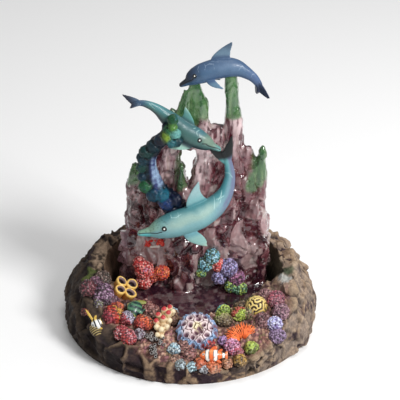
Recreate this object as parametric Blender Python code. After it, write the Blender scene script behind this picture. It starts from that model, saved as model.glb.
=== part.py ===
"""Dolphin figurine: three dolphins on a clear crag that stands in a bowl of reef rock.

Metres, +Z up, the front looks along -Y, the origin is the middle of the underside.
The base follows its own sizes. The crag and the dolphins are a free form, laid out in equal steps
of their height, so that they keep their pose at any size. The small corals and fish of the reef
are laid out in shares of the base's radius.
"""
import math
import random

import bmesh
import bpy
from mathutils import Matrix, Vector

MM = 0.001

# Driving sizes of the sculpture and of the seats between the pieces
SCULPTURE_HEIGHT = 186 * MM
HEIGHT_STEPS = 186
SEAT_GAP = 0.3 * MM

# Driving sizes of the rock base
FLOOR_THICKNESS = 14 * MM
WALL_HEIGHT = 42 * MM
FRONT_WALL_HEIGHT = 10 * MM
POOL_LIP_HEIGHT = 24 * MM
MOAT_WIDTH = 9 * MM
BOWL_SHIFT = 2 * MM
RIM_WIDTH = 9 * MM
WALL_RUN = 16 * MM
BOWL_WALL_RUN = 4 * MM
BLOCK_RELIEF = 2.4 * MM
LEDGE_RELIEF = 2.6 * MM
REEF_CROWN = 4 * MM
POOL_DEPTH = 8 * MM
POOL_SPILL = 1 * MM

# Proportions of the base
CRAG_STEPS = 52
REEF_STEPS = 86
DEPTH_RATIO = 0.93
POOL_REACH_RATIO = 0.73
FOOT_PLUMB_SHARE = 0.29
WALL_CURVE = 1.6
ROCK_BLOCKS = 24
COLUMNS_PER_BLOCK = 3
WALL_LAYERS = (0.34, 0.58, 0.8)
GROUND_LAYERS = (0.67, 0.33)

# Where the base turns from its high back to its low front, from the sides at 0 to the front at 1
LIP_DRAWS_IN = (0.05, 0.62)
LIP_FALLS = (0.0, 0.6)
SHOULDER_FALLS = (0.15, 1.0)
GROUND_SWELLS = (0.1, 0.8)
LEDGES_END = (0.0, 0.5)
POOL_ENDS = (-0.25, 0.35)

# How a seat cutter is worked out from a part
OUTSET_PASSES = 24
LONGEST_OUTSET = 4
SMALLEST_FACE = 1e-11

# Points that lie this close are one point
SAME_PLACE = 0.0001 * MM

# Faces of the rounded forms
CURVE_STEPS = 12
SPINE_POINTS = 61
BODY_SIDES = 10
STEM_SIDES = 8
STEM_LEVELS = 13
STEM_ROUGHNESS = 0.22
PILLAR_SIDES = 8
FOOT_SIDES = 14
PILLAR_ROUGHNESS = 0.16
PILLAR_ROUNDNESS = 0.7
BLOB_SIDES = 6
BLOB_LEVELS = 4
BLOB_ROUGHNESS = 0.2
DOME_SIDES = 6
DOME_LEVELS = ((0.95, -0.5), (1.0, 0.35), (0.5, 1.0))
DOME_ROUGHNESS = 0.24
SPONGE_SIDES = 7
ROSETTE_CUP_SIDES = 5
FISH_SIDES = 6
FINGER_SIDES = 5

# Worked out from the sizes above
STEP = SCULPTURE_HEIGHT / HEIGHT_STEPS
CRAG_HALF_WIDTH = CRAG_STEPS * STEP
BOWL_RADIUS = CRAG_HALF_WIDTH + MOAT_WIDTH
FOOT_RADIUS = BOWL_RADIUS + RIM_WIDTH + WALL_RUN
POOL_REACH = POOL_REACH_RATIO * CRAG_HALF_WIDTH
POOL_SURFACE = FLOOR_THICKNESS + POOL_DEPTH
REEF_STEP = FOOT_RADIUS / REEF_STEPS

MODEL = bpy.data.collections.new("dolphin_figurine")
HELPERS = bpy.data.collections.new("construction")


def start_scene():
    """Empty the scene and link the two collections."""
    for item in list(bpy.data.objects):
        bpy.data.objects.remove(item, do_unlink=True)
    bpy.context.scene.collection.children.link(MODEL)
    bpy.context.scene.collection.children.link(HELPERS)


def chance(*key):
    """A repeatable number from 0 to 1 for a key."""
    return random.Random(repr(key)).random()


def mix(first, second, share):
    """Go from first to second."""
    return first + (second - first) * share


def ease(low, high, value):
    """Rise smoothly from 0 at low to 1 at high."""
    share = min(1.0, max(0.0, (value - low) / (high - low)))
    return share * share * (3.0 - 2.0 * share)


def place(x, y, z):
    """A point of the sculpture, in steps from the bowl's floor."""
    return Vector((x * STEP, y * STEP, FLOOR_THICKNESS + z * STEP))


def material(name, colour, roughness):
    """A plain painted or clear resin finish."""
    finish = bpy.data.materials.new(name)
    finish.use_nodes = True
    shader = finish.node_tree.nodes["Principled BSDF"]
    shader.inputs["Base Color"].default_value = (*colour, 1.0)
    shader.inputs["Roughness"].default_value = roughness
    shader.inputs["Metallic"].default_value = 0.0
    finish.diffuse_color = (*colour, 1.0)
    return finish


def new_object(name, form, finish=None):
    """Make an object of a bmesh: a part when it has a finish, else a helper."""
    bmesh.ops.recalc_face_normals(form, faces=form.faces)
    mesh = bpy.data.meshes.new(name)
    form.to_mesh(mesh)
    form.free()
    item = bpy.data.objects.new(name, mesh)
    if finish:
        mesh.materials.append(finish)
        MODEL.objects.link(item)
    else:
        HELPERS.objects.link(item)
        item.hide_render = True
        item.display_type = "WIRE"
    return item


def loft(rings):
    """A closed solid through rings of equally many points."""
    form = bmesh.new()
    rows = [[form.verts.new(point) for point in ring] for ring in rings]
    count = len(rings[0])
    for lower, upper in zip(rows, rows[1:]):
        for i in range(count):
            j = (i + 1) % count
            form.faces.new((lower[i], lower[j], upper[j], upper[i]))
    form.faces.new(reversed(rows[0]))
    form.faces.new(rows[-1])
    return form


def apply_booleans(item, helpers, operation):
    """Join closed helpers to a part one after another, or cut the part with them.

    The exact solver leaves edges between three faces where many rough forms cross, so these
    joins use the manifold one.
    """
    for helper in helpers:
        step = item.modifiers.new(operation.lower() + "_" + helper.name, "BOOLEAN")
        step.operation = operation
        step.solver = "MANIFOLD"
        step.object = helper
    graph = bpy.context.evaluated_depsgraph_get()
    settled = bpy.data.meshes.new_from_object(item.evaluated_get(graph))
    item.modifiers.clear()
    item.data = settled
    form = bmesh.new()
    form.from_mesh(settled)
    drop_crumbs(form)
    form.to_mesh(settled)
    form.free()


def shell_from(start):
    """Every face that shared edges link to this one."""
    shell = {start}
    waiting = [start]
    while waiting:
        face = waiting.pop()
        for edge in face.edges:
            for other in edge.link_faces:
                if other not in shell:
                    shell.add(other)
                    waiting.append(other)
    return shell


def drop_crumbs(form):
    """Keep the main body where a cut has left loose splinters."""
    left = set(form.faces)
    shells = []
    while left:
        shell = shell_from(next(iter(left)))
        left -= shell
        shells.append(shell)
    shells.sort(key=len)
    for shell in shells[:-1]:
        bmesh.ops.delete(form, geom=list(shell), context="FACES")


def close_slits(item):
    """Take out the pairs of faces with nothing between them that joins and cuts leave."""
    form = bmesh.new()
    form.from_mesh(item.data)
    bmesh.ops.triangulate(form, faces=form.faces[:])
    places = {}
    for face in form.faces:
        corners = frozenset(tuple(round(value / SAME_PLACE) for value in vert.co) for vert in face.verts)
        places.setdefault(corners, []).append(face)
    empty = [face for faces in places.values() if len(faces) > 1 for face in faces]
    bmesh.ops.delete(form, geom=empty, context="FACES")
    bmesh.ops.remove_doubles(form, verts=form.verts[:], dist=SAME_PLACE)
    drop_crumbs(form)
    form.to_mesh(item.data)
    form.free()


def join(item, helpers):
    """Cast helpers and part in one."""
    apply_booleans(item, helpers, "UNION")


def cut(item, cutters):
    """Take the cutters' space out of the part."""
    apply_booleans(item, cutters, "DIFFERENCE")


def outset(corner):
    """The move that carries a corner the seat gap out of each face round it."""
    normals = [face.normal for face in corner.link_faces if face.calc_area() > SMALLEST_FACE]
    move = Vector()
    for _ in range(OUTSET_PASSES):
        for normal in normals:
            move += normal * max(0.0, SEAT_GAP - normal.dot(move))
    if move.length > LONGEST_OUTSET * SEAT_GAP:
        move.length = LONGEST_OUTSET * SEAT_GAP
    return move


def seat_cutter(item):
    """A copy of a part, larger all over by the seat gap, that cuts its seat in a neighbour."""
    form = bmesh.new()
    form.from_mesh(item.data)
    form.normal_update()
    moves = [outset(vert) for vert in form.verts]
    for vert, move in zip(form.verts, moves):
        vert.co += move
    return new_object("seat_of_" + item.name, form)


def smooth_path(points, count):
    """Even points on a smooth curve through a few chosen ones."""
    ends = [points[0] * 2 - points[1], *points, points[-1] * 2 - points[-2]]
    fine = []
    for a, b, c, d in zip(ends, ends[1:], ends[2:], ends[3:]):
        for i in range(CURVE_STEPS):
            t = i / CURVE_STEPS
            fine.append(0.5 * (2 * b + (c - a) * t + (2 * a - 5 * b + 4 * c - d) * t ** 2
                               + (3 * b - a - 3 * c + d) * t ** 3))
    fine.append(points[-1])
    travel = [0.0]
    for a, b in zip(fine, fine[1:]):
        travel.append(travel[-1] + (b - a).length)
    path = []
    reached = 0
    for i in range(count):
        wanted = travel[-1] * i / (count - 1)
        while reached < len(fine) - 2 and travel[reached + 1] < wanted:
            reached += 1
        share = (wanted - travel[reached]) / (travel[reached + 1] - travel[reached])
        path.append(fine[reached].lerp(fine[reached + 1], share))
    return path


class Spine:
    """A smooth line with a length and a back side."""

    def __init__(self, points, flank):
        self.path = smooth_path([place(*point) for point in points], SPINE_POINTS)
        self.flank = Vector(flank).normalized()
        self.length = sum((b - a).length for a, b in zip(self.path, self.path[1:]))

    def frame(self, share):
        """The point at a share of the length, with its flank, back and onward directions."""
        last = len(self.path) - 1
        spot = min(max(share, 0.0), 1.0) * last
        low = min(int(spot), last - 1)
        point = self.path[low].lerp(self.path[low + 1], spot - low)
        before = self.path[max(low - 1, 0)]
        after = self.path[min(low + 2, last)]
        onward = (after - before).normalized()
        back = self.flank.cross(onward).normalized()
        flank = onward.cross(back).normalized()
        return point, flank, back, onward


# The body of every dolphin from beak to tail: share of the length, then half its depth and half its
# width, as shares of the length
BODY = (
    (0.000, 0.012, 0.012), (0.020, 0.020, 0.022), (0.050, 0.027, 0.027), (0.092, 0.036, 0.034),
    (0.112, 0.051, 0.045), (0.140, 0.065, 0.058), (0.190, 0.080, 0.072), (0.260, 0.093, 0.084),
    (0.360, 0.095, 0.087), (0.450, 0.093, 0.085), (0.575, 0.075, 0.070), (0.710, 0.049, 0.044),
    (0.795, 0.038, 0.031), (0.900, 0.028, 0.019), (1.000, 0.018, 0.014),
)
TAIL_BLEND = (0.35, 0.70)
FLUKE_ROOT = 0.89
FIN_LEVELS = 5

# The blades: thickness, bow of the leading edge, bow of the trailing edge and chord at the tip
DORSAL_BLADE = (0.016, 0.045, 0.030, 0.018)
PECTORAL_BLADE = (0.012, 0.030, -0.015, 0.012)
FLUKE_BLADE = (0.010, 0.035, 0.000, 0.010)

# Where a fin's root lies under the skin, as shares of the length
DORSAL_SINK = 0.05
PECTORAL_SIDE = 0.050
PECTORAL_DROP = 0.055
FLUKE_OVERLAP = 0.012


def dolphin_body(spine, girths):
    """The body, lofted along its spine, with a girth for its front and one for its tail."""
    rings = []
    for share, deep, wide in BODY:
        point, flank, back, _ = spine.frame(share)
        girth = mix(*girths, ease(*TAIL_BLEND, share)) * spine.length
        ring = []
        for i in range(BODY_SIDES):
            angle = 2 * math.pi * i / BODY_SIDES
            ring.append(point + (flank * math.cos(angle) * wide + back * math.sin(angle) * deep) * girth)
        rings.append(ring)
    return loft(rings)


def fin(name, front, rear, tip, normal, blade, size):
    """A blade from its root to its tip, with a bowed leading edge."""
    thickness, lead_bow, trail_bow, tip_chord = blade
    chord = (rear - front).normalized() * size
    rings = []
    for i in range(FIN_LEVELS):
        share = i / (FIN_LEVELS - 1)
        bow = math.sin(math.pi * share)
        lead = front.lerp(tip, share) - chord * lead_bow * bow
        trail = rear.lerp(tip + chord * tip_chord, share) - chord * trail_bow * bow
        half = normal * thickness * size * (1.0 - 0.75 * share)
        middle = lead.lerp(trail, 0.4)
        rings.append((lead, middle + half, trail, middle - half))
    return new_object(name, loft(rings))


def dolphin(name, finish, points, flank, girths, dorsal, pectorals, fluke_tips):
    """One dolphin: body, dorsal fin, two pectorals and two flukes, joined in one casting."""
    spine = Spine(points, flank)
    size = spine.length
    body = new_object(name, dolphin_body(spine, girths), finish)
    front_share, rear_share, dorsal_tip = dorsal
    front, side, front_back, _ = spine.frame(front_share)
    rear, _, rear_back, _ = spine.frame(rear_share)
    front += front_back * DORSAL_SINK * size
    rear += rear_back * DORSAL_SINK * size
    fins = [fin(name + "_dorsal", front, rear, place(*dorsal_tip), side, DORSAL_BLADE, size)]
    front_share, rear_share, *tips = pectorals
    front, front_side, front_back, _ = spine.frame(front_share)
    rear, rear_side, rear_back, _ = spine.frame(rear_share)
    for sign, tip in zip((1, -1), tips):
        start = front + (front_side * sign * PECTORAL_SIDE - front_back * PECTORAL_DROP) * size * girths[0]
        end = rear + (rear_side * sign * PECTORAL_SIDE - rear_back * PECTORAL_DROP) * size * girths[0]
        reach = place(*tip)
        across = (end - start).cross(reach - start).normalized()
        fins.append(fin(name + "_pectoral", start, end, reach, across, PECTORAL_BLADE, size))
    root, _, _, _ = spine.frame(FLUKE_ROOT)
    notch, _, _, onward = spine.frame(1.0)
    for tip in fluke_tips:
        reach = place(*tip)
        inward = (notch - reach).normalized() * FLUKE_OVERLAP * size
        across = onward.cross(reach - notch).normalized()
        fins.append(fin(name + "_fluke", root + inward, notch + inward, reach, across, FLUKE_BLADE, size))
    join(body, fins)
    return body


# The three dolphins: points of the spine from beak to tail, flank, girths, dorsal fin (its root's ends
# as shares of the length, and its tip), pectorals (their root's ends and their tips), tips of the flukes
TOP_DOLPHIN = (
    ((-6.6, 13, 155.5), (-1.1, 13.5, 158.5), (3.8, 14, 162.0), (11.5, 14.6, 165.1), (20.9, 15, 167.5),
     (30.4, 15, 167.1), (39.3, 14.3, 162.2), (43.2, 13.6, 158.3), (45.0, 13, 155.0), (44.8, 12, 151.7)),
    (0, -1, 0), (1.13, 1.42), (0.36, 0.57, (25.2, 15, 185.2)),
    (0.28, 0.41, (21.6, 5, 157.0), (20.0, 21.5, 155.5)), ((51.0, 6, 149.2), (42.2, 18, 148.5)),
)
MIDDLE_DOLPHIN = (
    ((20.3, -5, 118.3), (14.2, -4, 121.0), (7.0, -3, 124.5), (1.3, -2, 127.3), (-5.5, -1, 131.3),
     (-11.0, 0, 136.1), (-14.9, 0, 140.0), (-19.9, -0.5, 145.1), (-25.1, -1.5, 148.9), (-30.9, -2.5, 151.1),
     (-36.8, -4, 150.6)),
    (0, 1, 0), (1.08, 1.10), (0.33, 0.49, (-0.4, 0, 145.9)),
    (0.25, 0.36, (-8.0, 6, 120.5), (-12.0, -9.5, 121.5)), ((-42.1, 1, 155.6), (-37.2, -9, 150.5)),
)
LOWER_DOLPHIN = (
    ((-34.8, -15, 60.6), (-25.5, -15, 62.5), (-17.4, -15, 65.4), (-10.8, -14.3, 67.5), (-2.3, -13, 69.8),
     (5.9, -11.5, 72.5), (14.0, -8.8, 76.2), (19.9, -6, 80.8), (24.0, -4, 87.0), (26.1, -2, 94.7),
     (26.1, -1.3, 100.5), (24.7, 0, 108.1), (21.6, 1, 114.3)),
    (0, -1, 0), (1.0, 1.0), (0.38, 0.57, (4.5, -12, 98.0)),
    (0.30, 0.38, (10.4, -17.5, 52.0), (3.0, -8.5, 55.5)), ((28.0, 0, 125.6), (13.0, 2, 113.7)),
)


def build_dolphins():
    """The three dolphins in their places."""
    slate = material("slate_blue_paint", (0.13, 0.20, 0.34), 0.45)
    teal = material("teal_green_paint", (0.16, 0.38, 0.40), 0.42)
    aqua = material("light_teal_paint", (0.25, 0.50, 0.52), 0.42)
    top = dolphin("dolphin_top", slate, *TOP_DOLPHIN)
    middle = dolphin("dolphin_middle", teal, *MIDDLE_DOLPHIN)
    lower = dolphin("dolphin_lower", aqua, *LOWER_DOLPHIN)
    cut(lower, [seat_cutter(middle)])
    return top, middle, lower


def blob(name, centre, radius, finish=None):
    """A knobbly ball of coral."""
    form = bmesh.new()
    matrix = Matrix.Translation(centre)
    made = bmesh.ops.create_uvsphere(form, u_segments=BLOB_SIDES, v_segments=BLOB_LEVELS, radius=radius,
                                     matrix=matrix)
    for i, vert in enumerate(made["verts"]):
        vert.co = centre + (vert.co - centre) * (1 + BLOB_ROUGHNESS * (chance(name, i) - 0.5))
    return new_object(name, form, finish)


# The coral stem from under the middle dolphin down to the lower one's back, and how thick it is
STEM_PATH = (
    (-13.4, -6.5, 138.0), (-15.5, -6.5, 129.5), (-21.4, -5, 122.8), (-26.0, -4, 113.0), (-26.4, -4, 103.0),
    (-23.6, -4, 91.8), (-17.6, -4, 83.4), (-10.6, -4, 78.4), (-5.0, -3, 75.5),
)
STEM_RADII = (3.6, 4.6, 5.6, 5.0, 5.2, 6.8, 7.2, 7.0, 5.0)
STEM_KNOBS = (
    ((-10.6, -7.5, 141.8), 3.6), ((-12.2, -8.5, 136.2), 3.9), ((-14.6, -9.5, 129.8), 3.6),
    ((-8.8, -9.5, 131.4), 2.9), ((-18.8, -9.0, 126.2), 3.4), ((-25.4, -6.5, 121.6), 4.0),
    ((-30.0, -5.0, 114.4), 3.4), ((-30.4, -5.0, 104.6), 3.2), ((-28.0, -7.0, 94.0), 4.4),
    ((-20.6, -8.5, 86.0), 4.8), ((-12.6, -8.0, 83.4), 4.0),
)


def build_stem(middle, lower):
    """The curved stem of coral, seated against both dolphins."""
    finish = material("navy_coral_paint", (0.05, 0.12, 0.20), 0.5)
    spine = Spine(STEM_PATH, (0, -1, 0))
    rings = []
    last = len(STEM_RADII) - 1
    for i in range(STEM_LEVELS):
        share = i / (STEM_LEVELS - 1)
        low = min(int(share * last), last - 1)
        radius = mix(STEM_RADII[low], STEM_RADII[low + 1], share * last - low) * STEP
        point, flank, back, _ = spine.frame(share)
        ring = []
        for j in range(STEM_SIDES):
            angle = 2 * math.pi * j / STEM_SIDES
            reach = radius * (1 - STEM_ROUGHNESS * chance("stem", i, j))
            ring.append(point + (flank * math.cos(angle) + back * math.sin(angle)) * reach)
        rings.append(ring)
    stem = new_object("coral_stem", loft(rings), finish)
    join(stem, [blob("knob_%d" % i, place(*centre), radius * STEP)
                for i, (centre, radius) in enumerate(STEM_KNOBS)])
    cut(stem, [seat_cutter(middle), seat_cutter(lower)])
    return stem


CLUMP_LEFT = (
    ((-31.5, -1.5, 22.5), 6.4), ((-34.6, -0.5, 27.5), 4.6), ((-31.6, -3.0, 14.5), 5.6),
    ((-25.6, -2.0, 18.5), 4.6), ((-19.5, -2.0, 20.8), 5.4),
)
CLUMP_RIGHT = (
    ((14.9, -2.0, 34.4), 5.4), ((10.2, -2.5, 28.4), 5.2), ((7.4, -3.5, 22.8), 4.0),
    ((19.4, -2.5, 27.5), 4.8), ((26.0, -3.0, 25.8), 6.4), ((19.6, -4.5, 18.8), 5.0),
    ((31.5, -4.0, 18.4), 5.6), ((28.4, -6.0, 12.6), 4.6), ((34.6, -6.5, 10.6), 4.6),
)


def build_clump(name, lobes, colour):
    """A cast of coral lobes that sits in the crag's foot."""
    centre, radius = lobes[0]
    clump = blob(name, place(*centre), radius * STEP, material(name + "_paint", colour, 0.6))
    join(clump, [blob("%s_lobe_%d" % (name, i), place(*spot), size * STEP)
                 for i, (spot, size) in enumerate(lobes[1:])])
    return clump


# Pillars of the crag: name, then levels of height, left, right, front and back, in steps
PILLARS = (
    ("foot", ((2, -49, 52, -2, 40), (16, -48, 54, -3, 40), (35, -47, 54.4, -2, 36), (50, -45.5, 53.5, 0, 32),
              (60, -43, 51, 1, 28), (72, -38, 46, 3, 24))),
    ("left", ((6, -50.4, -30, 2, 24), (26, -49, -28, 1, 22), (44, -47, -28, 2, 20), (53, -45.6, -28, 2, 19),
              (62, -43.4, -29, 3, 17), (83, -42.8, -30, 4, 15), (93, -41.6, -31.5, 5, 13),
              (101.5, -38.6, -36, 7, 10))),
    ("middle_left", ((40, -36, -6, 1, 26), (88, -30, -5, 1.5, 21), (110, -25, -5.5, 2, 19),
                     (124, -20, -5.5, 4, 18), (133, -15, -7, 7, 17), (139.5, -12.6, -10.6, 10, 14))),
    ("thorn", ((70, -13, -1, -1, 8), (88, -11, -2.4, 0, 8), (97, -8.4, -3.6, 1, 6),
               (103.5, -6.2, -4.6, 2.5, 4.5))),
    ("middle", ((40, -8, 24, 0, 26), (84, -3, 21, 2, 22), (100, -1.6, 19, 3, 20), (116, -6.5, 16.5, 4, 19),
                (127, -5.8, 15, 6, 19), (137, -5, 13.8, 8, 19), (144, -3.6, 12.6, 9, 19),
                (150, -2.4, 9.4, 10, 18), (159, 0, 5.2, 12, 17))),
    ("saddle", ((96, 8, 24, 5, 20), (116, 11, 24, 7, 20), (126.5, 13.5, 22.5, 9, 17))),
    ("right_column", ((40, 16, 42, 0, 26), (90, 19, 38, 3, 22), (112, 20.5, 36.4, 6, 21),
                      (128, 21.6, 35.8, 7, 20), (138, 22.4, 33.6, 8, 20), (148, 22.6, 32.4, 9, 20),
                      (163.5, 22.2, 31.6, 11, 19))),
    ("shoulder", ((40, 30, 52, 2, 24), (88, 32, 45, 4, 20), (104, 34, 43.4, 6, 18),
                  (111.5, 35.5, 40.4, 8, 15))),
    ("right_peak", ((4, 34, 54, 0, 24), (35, 36, 54.8, 0, 22), (60, 37, 53, 1, 20), (66, 38, 50.8, 2, 18),
                    (74, 39, 50.8, 3, 17), (84, 40, 52.2, 3, 16), (99, 41.5, 51.8, 5, 14),
                    (108, 44.4, 51, 6, 12), (114, 47.4, 49.2, 8, 10))),
    ("back_left", ((2.6, -40, 10, 18, 43), (44, -34, 8, 18, 39), (74, -26, 6, 16, 33), (92, -16, 2, 15, 27))),
    ("back_right", ((3.2, -6, 42, 18, 44), (50, -2, 38, 18, 38), (80, 4, 32, 16, 33), (104, 14, 28, 15, 26))),
    ("front_bulge", ((28, -2, 32, 0.5, 12), (50, -4, 34, -3, 12), (66, 0, 34, -4, 12), (80, 8, 34, -3, 12),
                     (98, 18, 33, 0, 12))),
    ("front_ridge", ((4, -16, 3, -10, 7), (16, -12, 4, -7.5, 7), (30, -5, 5.5, -5.5, 7), (42, 1, 7, -3, 7))),
)
WINDOW = ((-4.4, -0.6, 85.5), (-5.2, 0.6, 97.0), (-6.6, 3.0, 110.5), (-5.0, 2.0, 115.5))
WINDOW_FRONT = -4
WINDOW_BACK = 34
SIGHT_DROP = 0.3


def pillar_ring(level, name, index, sides=PILLAR_SIDES):
    """One rough level of a pillar."""
    height, left, right, front, back = level
    ring = []
    for i in range(sides):
        angle = 2 * math.pi * (i + 0.5 * (index % 2)) / sides
        rough = 1 - PILLAR_ROUGHNESS * chance(name, index, i)
        across = math.copysign(abs(math.cos(angle)) ** PILLAR_ROUNDNESS, math.cos(angle)) * rough
        along = math.copysign(abs(math.sin(angle)) ** PILLAR_ROUNDNESS, math.sin(angle)) * rough
        ring.append(place(mix(left, right, 0.5 + 0.5 * across), mix(front, back, 0.5 + 0.5 * along), height))
    return ring


def pool_ring(height):
    """One level of the pool: it runs into the bowl's wall in front and stays under the crag behind."""
    ring = []
    for angle in base_angles():
        bowl = bowl_radius_at(angle, height) + POOL_SPILL
        ahead = ease(*POOL_ENDS, -math.sin(angle))
        radius = mix(min(bowl, CRAG_HALF_WIDTH), bowl, ahead)
        ring.append(base_point(angle, radius, height))
    return ring


def build_crystal(seated):
    """The clear crag with its pool, seated in the bowl and cut for everything it carries."""
    finish = material("clear_rose_resin", (0.55, 0.35, 0.42), 0.15)
    name, levels = PILLARS[0]
    foot = [pillar_ring(level, name, i, FOOT_SIDES) for i, level in enumerate(levels)]
    crystal = new_object("crystal_crag", loft(foot), finish)
    pillars = []
    for name, levels in PILLARS[1:]:
        rings = [pillar_ring(level, name, i) for i, level in enumerate(levels)]
        pillars.append(new_object("pillar_" + name, loft(rings)))
    pool = loft([pool_ring(FLOOR_THICKNESS - POOL_SPILL), pool_ring(POOL_SURFACE)])
    join(crystal, [*pillars, new_object("pool", pool)])
    rings = []
    for y in (WINDOW_FRONT, WINDOW_BACK):
        drop = SIGHT_DROP * (y - WINDOW_FRONT)
        left = [place(x, y, z - drop) for x, _, z in WINDOW]
        right = [place(x, y, z - drop) for _, x, z in reversed(WINDOW)]
        rings.append(left + right)
    cut(crystal, [new_object("window", loft(rings)), *(seat_cutter(item) for item in seated)])


def base_angles():
    """The directions of the base's columns, from +X round past the back."""
    count = ROCK_BLOCKS * COLUMNS_PER_BLOCK
    return [2 * math.pi * i / count for i in range(count)]


def base_point(angle, radius, height):
    """A point of the base at a direction, a radius and a height."""
    return Vector((radius * math.cos(angle), radius * math.sin(angle) * DEPTH_RATIO, height))


def wall_radius_at(height):
    """The outer wall leans in more and more above its plumb foot."""
    plumb = FOOT_PLUMB_SHARE * WALL_HEIGHT
    share = max(0.0, (height - plumb) / (WALL_HEIGHT - plumb))
    return FOOT_RADIUS - WALL_RUN * share ** WALL_CURVE


def edges_at(angle):
    """Radius and height of the bowl's lip and of the outer shoulder, in one direction."""
    front = -math.sin(angle)
    bowl = BOWL_RADIUS + BOWL_SHIFT * math.cos(angle)
    lip_radius = mix(bowl, POOL_REACH / DEPTH_RATIO, ease(*LIP_DRAWS_IN, front))
    lip_height = mix(WALL_HEIGHT, POOL_LIP_HEIGHT, ease(*LIP_FALLS, front))
    shoulder_height = mix(WALL_HEIGHT, FRONT_WALL_HEIGHT, ease(*SHOULDER_FALLS, front))
    return lip_radius, lip_height, wall_radius_at(shoulder_height), shoulder_height


def bowl_radius_at(angle, height):
    """The bowl's wall leans out from the floor to the lip."""
    lip_radius, lip_height, _, _ = edges_at(angle)
    share = (lip_height - height) / (lip_height - FLOOR_THICKNESS)
    return lip_radius - BOWL_WALL_RUN * share


def reef_point(angle, share):
    """A point of the ground between the bowl's lip, share 0, and the outer shoulder, share 1."""
    lip_radius, lip_height, shoulder_radius, shoulder_height = edges_at(angle)
    crown = REEF_CROWN * ease(*GROUND_SWELLS, -math.sin(angle)) * math.sin(math.pi * share)
    height = mix(lip_height, shoulder_height, share) + crown
    return base_point(angle, mix(lip_radius, shoulder_radius, share), height)


# How far round a place the ground's slope is taken, out and along
SLOPE_REACH = 0.1
SLOPE_TURN = 0.05


def reef_frame(degrees, share):
    """The ground's own directions at a place: right, up the slope and out of the ground."""
    angle = math.radians(degrees)
    point = reef_point(angle, share)
    uphill = (reef_point(angle, share - SLOPE_REACH) - reef_point(angle, share + SLOPE_REACH)).normalized()
    right = (reef_point(angle + SLOPE_TURN, share) - reef_point(angle - SLOPE_TURN, share)).normalized()
    outward = right.cross(uphill).normalized()
    return point, right, outward.cross(right).normalized(), outward


def jog(size, *key):
    """A repeatable step in or out by up to a size."""
    return size * (2 * chance(*key) - 1)


def base_rings():
    """Levels of the base from its underside over the rim and down to the bowl's floor."""
    columns = []
    for i, angle in enumerate(base_angles()):
        block = i // COLUMNS_PER_BLOCK
        up = jog(LEDGE_RELIEF, "up", block)
        lip_radius, lip_height, shoulder_radius, shoulder_height = edges_at(angle)
        back = 1 - ease(*LEDGES_END, -math.sin(angle))
        column = [(FOOT_RADIUS, 0.0)]
        for layer, share in enumerate(WALL_LAYERS):
            height = shoulder_height * share
            column.append((wall_radius_at(height) + jog(BLOCK_RELIEF, "layer", layer, block), height))
        column.append((shoulder_radius + jog(BLOCK_RELIEF, "crest", block), shoulder_height + up))
        for share in GROUND_LAYERS:
            ground = reef_point(angle, share)
            radius = mix(lip_radius, shoulder_radius, share)
            column.append((radius, ground.z + up * back))
        column.append((lip_radius, lip_height))
        column.append((bowl_radius_at(angle, FLOOR_THICKNESS), FLOOR_THICKNESS))
        columns.append([base_point(angle, radius, height) for radius, height in column])
    return [[column[level] for column in columns] for level in range(len(columns[0]))]


def upright(frame, x, y, z):
    """A point given along a place's right, uphill and outward directions."""
    point, right, uphill, outward = frame
    return point + (right * x + uphill * y + outward * z) * REEF_STEP


def dome(name, frame, radius, height):
    """A low knobbly dome of coral on the ground."""
    rings = []
    for level, (reach, rise) in enumerate(DOME_LEVELS):
        ring = []
        for i in range(DOME_SIDES):
            angle = 2 * math.pi * (i + 0.5 * (level % 2)) / DOME_SIDES
            rough = radius * reach * (1 + DOME_ROUGHNESS * (chance(name, level, i) - 0.5))
            ring.append(upright(frame, rough * math.cos(angle), rough * math.sin(angle), rise * height))
        rings.append(ring)
    return new_object(name, loft(rings))


# A coral cup: how deep it is set, and its foot, wall and hollow as shares of its radius
CUP_SINK = 1.5
CUP_FOOT = 0.85
CUP_MOUTH = 0.55
CUP_BOTTOM = 0.4
CUP_DEPTH = 0.8


def cup(name, sides, frame, x, y, radius, height, splay=0.0):
    """A short tube with a hollow mouth, which stands on the ground and leans outward."""
    rings = []
    bottom = height - CUP_DEPTH * radius
    for reach, level in ((CUP_FOOT, -CUP_SINK), (1.0, height), (CUP_MOUTH, height), (CUP_BOTTOM, bottom)):
        ring = []
        for i in range(sides):
            angle = 2 * math.pi * i / sides
            ring.append(upright(frame, x * (1 + splay * level) + radius * reach * math.cos(angle),
                                y * (1 + splay * level) + radius * reach * math.sin(angle), level))
        rings.append(ring)
    return new_object(name, loft(rings))


# A reef fish from nose to tail: share of the length, then half its height and half its thickness as
# shares of the height, and how high its middle lies over the ground
FISH_PROFILE = (
    (0.0, 0.06, 0.04), (0.12, 0.31, 0.20), (0.35, 0.50, 0.32), (0.6, 0.42, 0.27), (0.8, 0.15, 0.10),
    (1.0, 0.31, 0.10),
)
FISH_LIFT = 1.2


def small_fish(name, frame, length, height, heading):
    """A reef fish that lies flat against the ground, nose first along its heading."""
    rings = []
    for share, tall, thick in FISH_PROFILE:
        along = (share - 0.5) * length
        ring = []
        for i in range(FISH_SIDES):
            angle = 2 * math.pi * i / FISH_SIDES
            rise = height * tall * math.sin(angle)
            x = along * math.cos(heading) - rise * math.sin(heading)
            y = along * math.sin(heading) + rise * math.cos(heading)
            ring.append(upright(frame, x, y, FISH_LIFT + height * thick * math.cos(angle)))
        rings.append(ring)
    return new_object(name, loft(rings))


# The fan coral: its fingers' spread in degrees, and share of the length, thickness and lift along each
FAN_FINGERS = 7
FAN_FIRST = -8
FAN_LAST = 188
FAN_SQUASH = 0.75
FAN_DROP = 0.2
FAN_ROOT = 0.42
FAN_ROOT_HEIGHT = 3.0
FINGER_LENGTH = (0.85, 1.15)
FINGER_PROFILE = ((0.1, 1.6, 1.75), (0.6, 1.9, 2.5), (1.0, 1.1, 3.1))


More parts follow.
